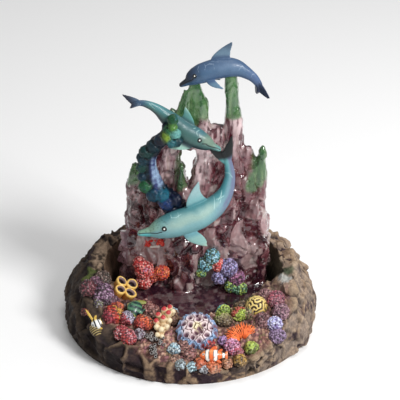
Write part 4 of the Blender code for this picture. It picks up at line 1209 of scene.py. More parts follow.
def reef_frame(degrees, share):
    """A place on the ground: its point, then right, up the slope and out of the ground."""
    angle = math.radians(degrees)
    uphill = unit(reef_point(angle, share - 0.1) - reef_point(angle, share + 0.1))
    right = unit(reef_point(angle + 0.05, share) - reef_point(angle - 0.05, share))
    outward = unit(np.cross(right, uphill))
    return reef_point(angle, share), right, np.cross(outward, right), outward


ROCK_COLUMNS = 620
COLUMN_CROWDING = 0.4
WALL_LEVELS = 52
GROUND_LEVELS = 60
BOWL_LEVELS = 15
BEAD_EARTH = (
    (172, 126, 112), (136, 92, 86), (190, 150, 128), (152, 104, 108), (128, 108, 84),
    (202, 164, 146),
)
PATCHES = (
    (-166, 1.1, 8.0, (72, 84, 38)), (-173, 0.8, 5.0, (78, 88, 44)), (-30, 0.05, 6.0, (66, 72, 50)),
    (-9, 0.25, 7.0, (34, 44, 34)), (-8.5, 0.80, 5.0, (74, 82, 62)),
    (-15.5, 0.70, 5.6, (172, 174, 170)),
)


def block_steps(table_of, angles):
    """Values of the rock's blocks, read between the columns they are set at."""
    count = ROCK_BLOCKS * COLUMNS_PER_BLOCK
    values = [table_of(i // COLUMNS_PER_BLOCK) for i in range(count)]
    turn = angles / (2 * np.pi) * count
    return np.interp(turn, np.arange(count + 1), [*values, values[0]])


def rock_rows(angles):
    """Levels from the underside over the rim to the bowl's floor: radius, height and kind."""
    lip_radius, lip_height, shoulder_radius, shoulder = edges_at(angles)
    layers = (0.34, 0.58, 0.8)
    jogs = [np.zeros(len(angles))]
    for layer in range(len(layers)):
        jogs.append(block_steps(lambda b, n=layer: BLOCK_RELIEF * (2 * chance("layer", n, b) - 1),
                                angles))
    jogs.append(block_steps(lambda b: BLOCK_RELIEF * (2 * chance("crest", b) - 1), angles))
    up = block_steps(lambda b: LEDGE_RELIEF * (2 * chance("up", b) - 1), angles)
    jogs = np.array(jogs)
    rows = [(share * FOOT * np.ones(len(angles)), np.zeros(len(angles)), 0.0)
            for share in (0.02, 0.5, 0.9, 0.985)]
    for share in np.linspace(0, 1, WALL_LEVELS):
        height = shoulder * share
        jog = np.array([np.interp(share, (0.0, *layers, 1.0), column) for column in jogs.T])
        rows.append((wall_radius_at(height) + jog, height + up * ease(0.8, 1.0, share), 1.0))
    back = 1 - ease(0.0, 0.5, -np.sin(angles))
    for share in np.linspace(1, 0, GROUND_LEVELS)[1:]:
        crown = CROWN * ease(0.1, 0.8, -np.sin(angles)) * math.sin(math.pi * share)
        lift = up * mix(back * ease(0.0, 0.33, share), 1.0, ease(0.67, 1.0, share))
        rows.append((mix(lip_radius, shoulder_radius, share),
                     mix(lip_height, shoulder, share) + crown + lift,
                     2.0 + 0.9 * share))
    for share in np.linspace(0, 1, BOWL_LEVELS)[1:]:
        height = mix(lip_height, FLOOR, share)
        rows.append((bowl_radius_at(angles, height), height, 3.0))
    for share in (0.96, 0.8, 0.5, 0.02):
        rows.append((bowl_radius_at(angles, FLOOR) * share, np.full(len(angles), FLOOR), 4.0))
    return rows


def rock_bowl():
    """The painted rock: blocks and ledges, dark in the joints, brushed tan on what stands out."""
    even = turns(ROCK_COLUMNS)
    angles = even - COLUMN_CROWDING * np.cos(even)
    rows = rock_rows(angles)
    skin = Skin(mesh_of(*loft([base_point(angles, radius, height) for radius, height, _ in rows])))
    kind = np.repeat([row[2] for row in rows], ROCK_COLUMNS)
    free = ((kind > 0) & (kind < 4)).astype(float)
    skin.relax(1, free)
    points = skin.points
    aside = points[:, 0] / FOOT
    turn = np.arctan2(points[:, 1] / DEPTH_RATIO, points[:, 0])
    front = ease(0.2, 0.6, -np.sin(turn))
    outer = (kind == 1).astype(float)
    ground = ((kind >= 2) & (kind < 3)).astype(float)
    end = 2.76 - 0.14 * ease(-0.2, -0.6, aside) + 0.10 * wander(points, 10.0, 69)
    reefy = ground * front * ease(end + 0.12, end - 0.04, kind)
    foot = ease(0.0, 3.0, points[:, 2])
    left = ease(-0.25, -0.75, aside) * (1 - reefy)
    first, second, number, way = grains(points, (15.0, 15.0, 26.0), 71)
    ridge = ease(0.23, 0.04, second - first + 0.06 * wander(points, 4.0, 72))
    chunk = 2.2 * facet(way, number, (40, 57, 91), 0.7) * (1 - ridge)
    chunk = chunk + (1.3 + 1.0 * front) * (ridge - 0.4)
    first, second, block, way = grains(points, (9.0, 9.0, 24.0), 70)
    meet = ease(0.0, 0.16, second - first)
    columns = (3.6 * (block - 0.5) + 3.0 * facet(way, block, (37, 59, 83))) * meet
    stepped = np.maximum(ease(0.0, 0.5, aside), ease(0.3, -0.2, front)) * ease(-0.75, -0.3, aside)
    chunk = mix(chunk, columns, stepped)
    ridge = ridge * (1 - stepped) + 0.5 * stepped * (1 - meet)
    smooth = (outer + ground * (1 - reefy)) * front * (1 - stepped)
    first, second, chip, way = grains(points, (4.6, 4.6, 6.6), 73)
    crack = ease(0.10, 0.0, second - first)
    small = 0.8 * facet(way, chip, (43, 53, 97)) - 0.25 * crack
    small = small * (1 - 0.7 * smooth - 0.5 * stepped)
    level = points @ (0.39, -0.43, 0.82) + 2.5 * wander(points, 16.0, 80)
    beds = np.stack([level, 0.15 * points[:, 0], 0.15 * points[:, 1]], 1)
    strata = 1.4 * wander(beds, 3.2, 74, 2)
    grit = (0.20 - 0.10 * smooth) * wander(points, 1.7, 75, 2)
    first, _, bead, _ = grains(points, 1.9, 76)
    beads = ease(0.62, 0.12, first)
    lumps = 2.0 * wander(points, 7.5, 78) + 0.8 * (beads - 0.4)
    soft = mix(1.0, 0.4, (kind == 3)) * (1 - 0.85 * reefy)
    skin.swell(((chunk + small + 0.55 * strata * left) * soft + grit + lumps * reefy) * foot * free)
    fine = skin.relief(4)
    broad = skin.relief(26)
    normals = skin.normals()
    patch = wander(points, 8.0, 77, 3)
    dust = wander(points, 2.2, 79, 2)
    skin.blend((44, 29, 36))
    # Painted light and shade: lighter on the right side in uneven patches, very dark on the left.
    skin.blend((110, 97, 86), 0.85 * ease(0.1, 0.6, aside) * ease(-0.6, 0.3, patch))
    skin.blend((88, 72, 78), 0.6 * ease(0.0, 0.5, aside) * ease(0.1, 0.7, -patch))
    skin.blend((27, 22, 19), 0.95 * left)
    skin.blend((58, 48, 41), 0.6 * left * ease(0.3, 1.2, strata))
    shade = 1 + (0.34 * (block - 0.5) + 0.30 * (chip - 0.5) * (1 - smooth)) * (1 - reefy)
    skin.paint = skin.paint * shade[:, None]
    crest = mix(ease(0.35, 0.95, ridge + 0.3 * dust), ease(0.15, 1.1, ridge + 0.45 * dust), smooth)
    # Tan wear on the crests, with painted light on faces that look up; little on the left side, as
    # painted shade.
    wear_and_top_light = crest + ease(0.2, 0.8, normals[:, 2] + 0.3 * dust) * ease(-0.6, 0.3, broad)
    skin.blend((142, 118, 94), 0.8 * wear_and_top_light * mix(0.12, 1.0, ease(-0.75, 0.2, aside)))
    # Dry-brushed tan on what stands out, kept faint on the left side as painted shade.
    brushed = ease(0.10, 0.45, fine + 0.06 * dust) * (1 - 0.7 * smooth)
    skin.blend((170, 148, 122), 0.6 * brushed * mix(0.15, 1.0, ease(-0.7, 0.4, aside)))
    # Dark in the joints and cracks, with painted shade in the broad hollows.
    skin.blend((40, 30, 33), 0.85 * ease(-0.05, -0.45, fine) + 0.6 * ease(-0.2, -1.3, broad))
    # Painted shade: the outer wall darker on the left.
    skin.blend((40, 32, 32), 0.35 * outer * ease(-0.2, -0.8, aside))
    rim = ground * (1 - reefy) * ease(-0.3, -0.7, aside) * ease(2.9, 2.4, kind)
    skin.blend((150, 128, 108), 0.8 * rim * ease(-0.5, 0.35, patch + 0.6 * dust + 0.5 * fine))
    # Painted light: paler on the right side.
    skin.blend((174, 156, 142), 0.35 * ease(0.35, 0.75, aside) * ease(-0.5, 0.5, patch + dust))
    for k, colour in enumerate(BEAD_EARTH):
        chosen = (bead >= k / len(BEAD_EARTH)) & (bead < (k + 1) / len(BEAD_EARTH))
        skin.blend(colour, reefy * chosen)
    # Painted shade on the reef ground: between its beads and in its low places.
    skin.blend((48, 30, 29), 0.65 * reefy * ease(0.35, 0.0, beads))
    skin.blend((48, 32, 30), 0.6 * reefy * ease(0.0, -0.7, wander(points, 7.5, 78)))
    inside = (kind >= 3).astype(float)
    # Inside the bowl: lighter on the left wall as painted light, darker greenish brown on the right
    # and darker towards the floor as painted shade.
    skin.blend((104, 82, 66), 0.8 * inside * ease(10, -40, points[:, 0]))
    skin.blend((84, 80, 62), 0.85 * inside * ease(-20, 40, points[:, 0]))
    skin.blend((40, 32, 28), 0.7 * inside * ease(30, 16, points[:, 2]))
    for degrees, share, reach, colour in PATCHES:
        far = np.linalg.norm(points - reef_frame(degrees, share)[0], axis=1)
        skin.blend(colour, 0.8 * ease(reach, 0.4 * reach, far + 0.22 * reach * dust))
    finish = painted("rock_paint", roughness=(0.62, 0.85), tone=(0.7, 1.25), tone_scale=700,
                     grain=0.5, grain_scale=2600, Specular_IOR_Level=0.2)
    skin.piece("painted_rock_bowl", finish, "painted_rock", "rock_base")


# The corals on the reef: direction in degrees, share of the way out, radius, height, size of the
# beads, how mixed the three colours are (0 from the slope's top down, 1 at random), the colours

# A dark earth brown, also laid as painted shade between beads and at the corals' feet.
EARTH_AND_SHADE = (30, 18, 16)
BEAD_SHINE = (243.45, 241.05, 238.61)
CORALS = (
    (-154.5, 0.62, 6.8, 5.4, 1.15, 0.8, ((100, 58, 92), (168, 132, 160), (54, 34, 46))),
    (-149.0, 0.50, 4.2, 3.6, 1.10, 0.8, ((92, 52, 74), (128, 84, 100), (70, 38, 52))),
    (-150.0, 0.78, 3.0, 3.4, 1.00, 0.7, ((190, 180, 196), (120, 120, 90), (86, 70, 96))),
    (-159.0, 0.95, 5.6, 4.4, 1.30, 0.6, ((92, 26, 38), (124, 62, 72), (62, 34, 40))),
    (-165.5, 0.40, 5.0, 3.6, 1.30, 0.7, ((96, 78, 70), (72, 62, 52), (124, 98, 88))),
    (-162.0, 0.72, 4.2, 3.4, 1.20, 0.7, ((96, 58, 84), (132, 90, 110), (70, 44, 60))),
    (-148.0, 1.06, 2.4, 2.2, 1.20, 0.5, ((160, 70, 62), (130, 52, 50), (96, 44, 44))),
    (-143.0, 0.50, 3.8, 4.0, 1.15, 0.3, ((206, 110, 60), (190, 70, 52), (150, 60, 48))),
    (-139.5, 0.62, 6.0, 5.4, 1.20, 0.15, ((206, 150, 62), (198, 60, 44), (158, 44, 62))),
    (-132.5, 0.47, 4.8, 4.8, 1.15, 0.25, ((140, 138, 158), (186, 178, 196), (158, 50, 62))),
    (-128.0, 0.71, 4.6, 4.2, 1.20, 0.7, ((188, 84, 92), (176, 54, 60), (206, 150, 152))),
    (-123.5, 0.70, 4.8, 4.6, 1.15, 0.7, ((204, 142, 148), (178, 90, 100), (178, 48, 44))),
    (-119.5, 0.58, 3.6, 3.6, 1.05, 0.8, ((150, 140, 160), (188, 180, 188), (92, 56, 66))),
    (-121.5, 0.39, 5.2, 5.2, 1.15, 0.2, ((146, 98, 80), (216, 92, 50), (176, 60, 50))),
    (-137.0, 0.03, 5.0, 3.4, 1.30, 0.8, ((156, 104, 100), (126, 70, 66), (174, 122, 112))),
    (-127.5, 0.05, 5.4, 3.6, 1.30, 0.8, ((150, 104, 96), (128, 72, 70), (170, 120, 110))),
    (-121.5, 0.10, 4.4, 3.4, 1.30, 0.8, ((142, 98, 84), (108, 54, 52), (160, 116, 104))),
    (-143.0, 0.30, 4.0, 3.0, 1.30, 0.8, ((98, 62, 58), (84, 46, 46), (120, 80, 72))),
    (-107.5, 0.02, 4.4, 5.0, 1.25, 0.1, ((132, 158, 172), (138, 102, 78), (112, 80, 60))),
    (-104.0, 0.14, 3.8, 4.0, 1.20, 0.6, ((142, 108, 84), (112, 78, 58), (96, 66, 52))),
    (-98.0, 0.68, 3.7, 4.2, 1.10, 0.7, ((168, 200, 214), (212, 226, 230), (96, 132, 150))),
    (-93.0, 0.62, 4.4, 3.6, 1.25, 0.8, ((150, 106, 98), (124, 82, 78), (168, 128, 116))),
    (-90.0, 0.76, 4.0, 3.4, 1.25, 0.8, ((142, 92, 88), (112, 66, 64), (160, 116, 106))),
    (-94.0, 0.90, 3.2, 3.2, 1.10, 0.6, ((140, 152, 160), (108, 116, 112), (170, 186, 194))),
    (-89.0, 0.93, 3.2, 3.2, 1.10, 0.7, ((146, 178, 190), (178, 206, 214), (92, 120, 128))),
    (-97.0, 0.84, 3.2, 3.0, 1.20, 0.8, ((146, 112, 94), (116, 82, 68), (166, 134, 114))),
    (-80.0, 0.60, 4.0, 3.2, 1.30, 0.7, ((166, 40, 44), (190, 66, 60), (112, 30, 36))),
    (-85.5, 0.90, 3.5, 3.4, 1.15, 0.4, ((196, 112, 72), (176, 88, 56), (146, 92, 72))),
    (-79.5, 0.95, 4.2, 3.2, 1.15, 0.4, ((204, 118, 74), (182, 96, 60), (176, 124, 96))),
    (-73.0, 0.92, 3.4, 2.8, 1.15, 0.8, ((168, 122, 92), (140, 92, 72), (190, 132, 96))),
    (-84.0, 0.97, 2.9, 2.6, 1.10, 0.7, ((120, 124, 130), (164, 170, 176), (92, 88, 92))),
    (-59.0, 0.06, 4.4, 5.2, 1.20, 0.0, ((118, 196, 178), (166, 184, 84), (118, 140, 60))),
    (-63.5, 0.22, 4.8, 4.4, 1.20, 0.2, ((150, 168, 70), (134, 128, 82), (112, 96, 70))),
    (-51.0, 0.25, 5.0, 4.6, 1.20, 0.1, ((122, 106, 58), (168, 72, 54), (150, 168, 62))),
    (-45.5, 0.33, 4.4, 3.4, 1.25, 0.8, ((150, 138, 92), (134, 96, 84), (106, 110, 66))),
    (-42.0, 0.12, 4.2, 3.2, 1.25, 0.8, ((106, 88, 62), (84, 62, 50), (130, 110, 82))),
    (-29.0, 0.62, 5.6, 4.4, 1.15, 0.7, ((170, 84, 98), (148, 98, 108), (120, 60, 78))),
    (-27.5, 0.36, 4.8, 3.8, 1.20, 0.8, ((142, 106, 108), (120, 80, 84), (156, 120, 116))),
    (-34.5, 0.80, 5.2, 3.8, 1.15, 0.8, ((138, 102, 116), (112, 76, 92), (160, 124, 132))),
    (-42.0, 0.80, 4.6, 4.8, 1.05, 0.6, ((170, 170, 218), (206, 206, 240), (112, 96, 150))),
    (-45.5, 0.94, 4.6, 3.4, 1.15, 0.8, ((130, 106, 140), (152, 128, 160), (98, 78, 104))),
    (-44.5, 0.62, 5.4, 3.6, 1.25, 0.8, ((112, 74, 78), (90, 56, 62), (130, 90, 92))),
    (-68.0, 0.72, 5.0, 4.2, 1.10, 0.7, ((176, 110, 150), (206, 150, 178), (158, 62, 84))),
    (-71.5, 0.60, 3.6, 3.4, 1.10, 0.7, ((150, 106, 160), (182, 150, 196), (110, 70, 110))),
    (-66.5, 0.80, 3.4, 3.2, 1.10, 0.7, ((172, 66, 84), (150, 90, 100), (120, 50, 60))),
    (-59.5, 0.84, 4.0, 3.8, 1.10, 0.3, ((178, 186, 84), (150, 170, 72), (96, 104, 52))),
    (-67.0, 0.94, 3.8, 3.4, 1.10, 0.5, ((196, 160, 74), (150, 116, 56), (104, 82, 48))),
)
BEAD_HEIGHT = 0.62
SINK = 0.45
FULLNESS = 1.18
FINE_FROM = 4.3


def stand(place_of, local):
    """Points given along a place's right, uphill and outward directions."""
    point, *ways = place_of
    return point + local @ np.array(ways)


def leant(place_of, degrees):
    """A place leant forward about its right-hand direction, to face the front more."""
    point, right, uphill, outward = place_of
    lean = math.radians(degrees)
    return (point, right, uphill * math.cos(lean) + outward * math.sin(lean),
            outward * math.cos(lean) - uphill * math.sin(lean))


def facing(place_of):
    """A place turned about its outward direction, so that its right-hand side is the viewer's."""
    point, _, _, outward = place_of
    right = unit(np.array((1.0, 0.0, 0.0)) - outward[0] * outward)
    return point, right, np.cross(outward, right), outward


def bunch(rows, steps=4):
    """Round bodies seated in the ground: a skin, each point's row and its place on the body."""
    parts = []
    own = []
    local = []
    for index, (degrees, share, radius, height) in enumerate(rows):
        spots, faces = ball(steps=steps + (radius > FINE_FROM))
        shaped = spots * (radius * FULLNESS, radius * FULLNESS, height * FULLNESS)
        shaped[:, 2] = np.where(shaped[:, 2] < 0, shaped[:, 2] * SINK, shaped[:, 2])
        parts.append((stand(reef_frame(degrees, share), shaped), faces))
        own.append(np.full(len(spots), index))
        local.append(spots)
    return Skin(mesh_of(*joined(parts))), np.concatenate(own), np.concatenate(local)


def bead_corals(finish):
    """The granular corals, each bead in one of its coral's colours."""
    skin, own, local = bunch([row[:4] for row in CORALS])
    size = np.array([row[4] for row in CORALS])[own]
    mixed = np.array([row[5] for row in CORALS])[own]
    palette = srgb([row[6] for row in CORALS])
    skin.swell(0.9 * wander(skin.points, 4.2, 91, 2))
    first, _, number, _ = grains(skin.points, size[:, None], 93)
    top = ease(0.74, 0.16, first)
    skin.swell(BEAD_HEIGHT * size * (top - 0.3 + 0.5 * (number - 0.5))
               + 0.10 * wander(skin.points, 0.5, 95))
    share = mix(0.5 - 0.62 * local[:, 1], number, mixed).clip(0, 0.999)
    skin.paint = palette[own, (share * 3).astype(int)]
    spare = scatter(np.floor(number[:, None] * 4096).astype(np.int64) * np.ones(3, np.int64), 97)
    skin.paint = skin.paint * mix(0.85, 1.5, spare)[:, None]
    # Painted shade: the corals darker towards the left, with more dark between the beads there.
    side = ease(-0.85, 0.1, skin.points[:, 0] / FOOT)
    skin.paint = skin.paint * mix(0.8, 1.0, side)[:, None]
    # Painted shade between the beads.
    skin.blend(EARTH_AND_SHADE, 0.92 * ease(mix(0.62, 0.38, side), 0.0, top))
    skin.blend(BEAD_SHINE, 0.2 * ease(0.6, 1.0, top) * (spare > 0.5))
    skin.blend((104, 76, 66), 0.55 * ease(0.55, 0.1, local[:, 2] + 0.4 * (number - 0.5))
               * ease(0.2, 0.6, top))
    # Dark at each coral's foot, where it meets the ground: painted shade.
    skin.blend(EARTH_AND_SHADE, 0.85 * ease(0.16, -0.06, local[:, 2]))
    skin.piece("granular_corals", finish, "painted_rock")


# The golden tube sponge

TUBES = ((-4.0, -3.6, 3.9, 6.6), (3.2, -3.4, 4.1, 6.2), (-3.8, 3.4, 3.9, 7.0), (3.7, 3.8, 4.2, 7.4))
TUBE_PROFILE = (
    (0.90, -0.5, 0), (0.93, -0.1, 0), (0.95, 0.3, 0), (0.99, 0.6, 0), (1.04, 0.8, 1),
    (1.03, 0.92, 1), (0.95, 1.0, 1), (0.82, 1.03, 1), (0.72, 1.0, 1.6), (0.64, 0.92, 2),
    (0.57, 0.80, 2.4), (0.50, 0.62, 3), (0.36, 0.5, 3), (0.12, 0.44, 3),
)
TUBE_SIDES = 40
SPONGE_PLACE = (-156.5, 0.10)
# Outer gold, the lip's yellow as a painted highlight, the funnel's lavender, its bottom dark as
# painted shade.
TUBE_COLOURS = ((206, 142, 62), (234, 192, 104), (154, 128, 128), (38, 20, 26))


def smooth_profile(rows, steps):
    """A fine profile through a few rows."""
    rows = np.array(rows, float)
    spots = np.linspace(0, len(rows) - 1, (len(rows) - 1) * steps + 1)
    fine = np.stack([np.interp(spots, np.arange(len(rows)), column) for column in rows.T], 1)
    for _ in range(steps):
        fine[1:-1] = 0.25 * fine[:-2] + 0.5 * fine[1:-1] + 0.25 * fine[2:]
    return fine


def tube(ground, profile, spot, radius, height, spread, rough):
    """An open tube with a profile's rings: its points and faces, and then each point's zone."""
    x, y = spot
    turn = turns(len(rough))
    rings = []
    for reach, rise, _ in profile:
        right = x * (1 + spread * rise) + radius * reach * rough * np.cos(turn)
        upward = y * (1 + spread * rise) + radius * reach * rough * np.sin(turn)
        ring = np.stack([right, upward, np.full(len(turn), height * rise)], 1)
        rings.append(stand(ground, ring))
    return loft(rings), np.repeat([row[2] for row in profile], len(turn))


def tube_sponge():
    """Four golden tubes: painted highlight on the lips, painted shade deep in the funnels."""
    ground = facing(reef_frame(*SPONGE_PLACE))
    profile = smooth_profile(TUBE_PROFILE, 4)
    turn = turns(TUBE_SIDES)
    parts = []
    for index, (x, y, radius, height) in enumerate(TUBES):
        sway = 1 + 0.06 * np.sin(2 * turn + 2 * index) + 0.03 * np.sin(3 * turn + index)
        parts.append(tube(ground, profile, (x, y), radius, height, 0.02, sway))
    parts, zone = zip(*parts)
    skin = Skin(mesh_of(*joined(parts)))
    zone = np.concatenate(zone)
    shade = wander(skin.points, 3.0, 101, 2)
    skin.swell(0.18 * wander(skin.points, 2.2, 103, 2))
    skin.blend(TUBE_COLOURS[0])
    skin.blend((166, 92, 44), 0.7 * ease(0.1, 0.7, -shade) * (zone < 0.9))
    # Painted highlight: yellow on the lips.
    skin.blend(TUBE_COLOURS[1], ease(0.35, 1.0, zone))
    skin.blend(TUBE_COLOURS[2], ease(1.35, 1.9, zone))
    # Painted shade: dark at the bottom of the funnels.
    skin.blend(TUBE_COLOURS[3], ease(2.2, 2.75, zone))
    finish = painted("sponge_paint", coat=0.25)
    skin.piece("golden_tube_sponge", finish, "painted_rock")


# The rosette: rings of hollow lobes on a dome

ROSETTE_PLACE = (-85.5, 0.38)
ROSETTE_LEAN = 12
ROSETTE_RADIUS = 14.0
ROSETTE_RISE = 7.0
ROSETTE_CELLS = ((0.08, 1, 0.0), (0.36, 5, 0.35), (0.64, 9, 0.1), (0.90, 13, 0.25))
ROSETTE_RINGS = 110
ROSETTE_SIDES = 270


def rosette():
    """A dome of hollow lobes, sky blue at the rim, pink and cream inside."""
    ground = leant(reef_frame(*ROSETTE_PLACE), ROSETTE_LEAN)
    cells = []
    for ring, (reach, count, start) in enumerate(ROSETTE_CELLS):
        for i in range(count):
            angle = 2 * math.pi * (i + start + 0.6 * (chance("petal", ring, i) - 0.5)) / count
            out = reach + 0.13 * (chance("out", ring, i) - 0.5) * (ring < 3)
            cells.append((out * math.cos(angle), out * math.sin(angle)))
    cells = np.array(cells)
    reach = np.linspace(0.005, 1.0, ROSETTE_RINGS)
    turn = turns(ROSETTE_SIDES)
    flat = np.stack([reach[:, None] * np.cos(turn), reach[:, None] * np.sin(turn)], -1)
    flat = flat.reshape(-1, 2)
    level = np.pad(flat, ((0, 0), (0, 1)))
    warped = flat + 0.035 * np.stack([wander(level, 0.16, seed) for seed in (115, 117)], 1)
    far = np.sqrt(((warped[:, None] - cells) ** 2).sum(-1))
    order = np.sort(far, axis=1)
    first = order[:, 0]
    wall = order[:, 1] - first
    out = np.linalg.norm(flat, axis=1)
    size = mix(0.15, 0.17, out)
    hollow = ease(size * 0.95, size * 0.30, first)
    rim = ease(0.0, 0.05, wall)
    edge = ease(0.90, 1.0, out)
    lobed = 1 - 0.10 * edge * ease(0.10, 0.24, first)
    dome_height = ROSETTE_RISE * np.sqrt(np.clip(1 - (0.97 * out) ** 2.6, 0, 1))
    rise = dome_height + 1.9 * rim * (1 - edge) - 3.3 * hollow * (1 - 0.6 * edge) - 1.2 * (1 - rim)
    rise = np.where(out > 0.995, rise - 1.5, rise)
    local = np.column_stack((flat * lobed[:, None] * ROSETTE_RADIUS, rise))
    rings = stand(ground, local).reshape(ROSETTE_RINGS, ROSETTE_SIDES, 3)
    circle = np.stack([np.cos(turn), np.sin(turn)], 1) * ROSETTE_RADIUS
    under = [stand(ground, np.column_stack((circle * share, np.full(ROSETTE_SIDES, -2.5))))
             for share in (0.85, 0.02)]
    skin = Skin(mesh_of(*loft([*rings, *under])))
    spare = 2 * ROSETTE_SIDES
    hollow, rim, out = (np.concatenate((values, np.zeros(spare))) for values in (hollow, rim, out))
    skin.relax(1)
    skin.swell(0.12 * wander(skin.points, 1.6, 111, 2))
    patch = wander(skin.points, 3.0, 113, 2)
    skin.blend((226, 206, 206))
    skin.blend((234, 222, 184), ease(0.36, 0.12, out + 0.08 * patch))
    skin.blend((146, 178, 214), ease(0.60, 0.84, out + 0.06 * patch))
    skin.blend((120, 158, 204), 0.8 * ease(0.9, 1.0, out))
    skin.blend((150, 112, 128), 0.92 * ease(0.25, 0.75, hollow))
    # Painted shade: darker deep in the hollows.
    skin.blend((112, 78, 94), 0.8 * ease(0.8, 1.0, hollow))
    skin.blend((140, 108, 122), 0.85 * ease(0.75, 0.1, rim) * (out < 0.95))
    finish = painted("rosette_paint", tone=(0.88, 1.1), tone_scale=1200, coat=0.2)
    skin.piece("rosette_coral", finish, "painted_rock")


# The anemone: round fingers with red tips on a cream body

ANEMONE_PLACE = (-109, 0.28)
ANEMONE_LEAN = 14
ANEMONE_BODY = (
    (0.0, 5.2, 3.6, 4.4), (0.3, 0.4, 4.0, 5.0), (0.6, -5.0, 3.6, 4.6), (0.8, -8.6, 2.8, 3.4),
)
ANEMONE_FINGERS = (
    (1.2, 11.6, 4.8, 2.0), (-1.8, 8.6, 5.4, 2.1), (-4.6, 4.2, 4.6, 2.1), (2.2, 6.0, 6.4, 2.1),
    (0.2, 1.2, 6.8, 2.2), (-4.2, -1.0, 4.8, 2.1), (4.2, 9.0, 4.6, 1.9), (4.0, 1.6, 5.0, 2.0),
    (3.8, -3.4, 4.8, 2.0), (-2.4, -5.2, 5.0, 2.1), (1.2, -6.4, 5.4, 2.0), (-0.6, -10.0, 3.4, 1.8),
    (2.6, -10.2, 3.0, 1.7),
)
ANEMONE_RED = (0, 1, 2, 3, 4, 5)


def anemone():
    """The cream anemone."""
    ground = leant(reef_frame(*ANEMONE_PLACE), ANEMONE_LEAN)
    parts = []
    for x, y, radius, height in ANEMONE_BODY:
        spots, faces = ball(steps=4)
        parts.append((stand(ground, spots * (radius, radius * 1.15, height) + (x, y, 0.2)), faces))
    tips = []
    for x, y, z, radius in ANEMONE_FINGERS:
        foot = np.array((x * 0.55, y * 0.8 - 0.6, 1.0))
        tip = np.array((x, y, z))
        tips.append(stand(ground, tip[None])[0])
        for step in np.linspace(0.25, 1.0, 6):
            spots, faces = ball(radius=radius * mix(0.9, 1.0, step))
            parts.append((stand(ground, spots + mix(foot, tip, step)), faces))
    skin = cast(parts, ANEMONE_GRAIN)
    skin.relax(3)
    skin.swell(0.16 * wander(skin.points, 2.0, 121, 2))
    raised = skin.relief(12)
    skin.blend((226, 200, 158))
    # Painted light and shade: paler cream on what stands out, brown in the creases.
    skin.blend((240, 224, 190), ease(0.0, 0.4, raised))
    skin.blend((150, 104, 70), 0.8 * ease(-0.02, -0.4, raised))
    up = ground[3]
    for index in ANEMONE_RED:
        spot = tips[index] + up * 1.7
        far = skin.away(spot)
        skin.blend((190, 52, 58), ease(2.2, 1.4, far + 0.2 * wander(skin.points, 1.2, 123)))
    finish = painted("anemone_paint", tone=(0.9, 1.1), coat=0.15)
    skin.piece("cream_anemone", finish, "painted_rock")


# The golden brain coral

BRAIN_CORAL = (-38, 0.38, 6.3, 7.2)
MAZE_SEED_SIZE = 1.0
MAZE_ROUNDS = 40
MAZE_REACH = 9
MAZE_GAIN = 9.0


def brain_coral():
    """A ball with a maze of dark grooves: ridges gather near by and part farther off."""
    skin, _, local = bunch([BRAIN_CORAL], 5)
    field = wander(skin.points, MAZE_SEED_SIZE, 131)
    for _ in range(MAZE_ROUNDS):
        near = far = skin.around(field)[:, 0]
        for step in range(MAZE_REACH):
            far = skin.around(far)[:, 0]
            near = far if step < MAZE_REACH // 3 else near
        field = np.tanh(MAZE_GAIN * (near - far))
    ridge = ease(-0.85, 0.15, field)
    upper = ease(0.05, 0.2, local[:, 2])
    skin.swell(mix(-0.75, 0.25, ridge) * upper)
    skin.blend((96, 66, 38))
    skin.blend((214, 182, 96), ease(0.35, 0.75, ridge))
    # Painted highlight: paler on the ridge tops towards the top of the ball.
    skin.blend((240, 216, 138), 0.7 * ease(0.85, 1.0, ridge) * ease(0.2, 0.7, local[:, 2]))
    skin.blend((44, 26, 20), ease(0.4, 0.0, ridge))
    # Painted shade: dark at the foot, where the ball meets the ground.
    skin.blend(EARTH_AND_SHADE, 0.8 * ease(0.2, 0.0, local[:, 2]))
    finish = painted("brain_coral_paint", roughness=(0.4, 0.6), tone_scale=1200, coat=0.15)
    skin.piece("golden_brain_coral", finish, "painted_rock")


# The orange fan: ribs that branch from one root

FAN_PLACE = (-61, 0.58)
FAN_LEAN = 16
FAN_ROOT = (0.0, -4.6, 1.6)
FAN_OPENS = (-14, 194)
FAN_REACH = 10.8
FAN_RIBS = 19
RIB_LIFT = 2.3
RIB_SIDES = 8
RIB_LEVELS = 12


def rib(ground, start, way, length, thickness, lift, key):
    """One wavy rib that lies over the fan's cushion: its points and faces."""
    side = np.array((-way[1], way[0], 0.0))
    rings = []
    for share in np.linspace(0, 1, RIB_LEVELS):
        bend = 0.35 * math.sin(5 * share + 6 * chance("bend", *key)) * share
        rise = np.array((0, 0, lift * math.sin(math.pi * share ** 0.8)))
        spot = start + way * length * share + side * bend + rise
        thick = thickness * (1.0 - 0.35 * share) * (1 if share < 0.95 else 0.7)
        ring = []
        for turn in turns(RIB_SIDES):
            over = np.array((0, 0, 1.0)) * math.sin(turn) * thick
            ring.append(spot + side * math.cos(turn) * thick + over)
        rings.append(stand(ground, np.array(ring)))
    return loft(rings)


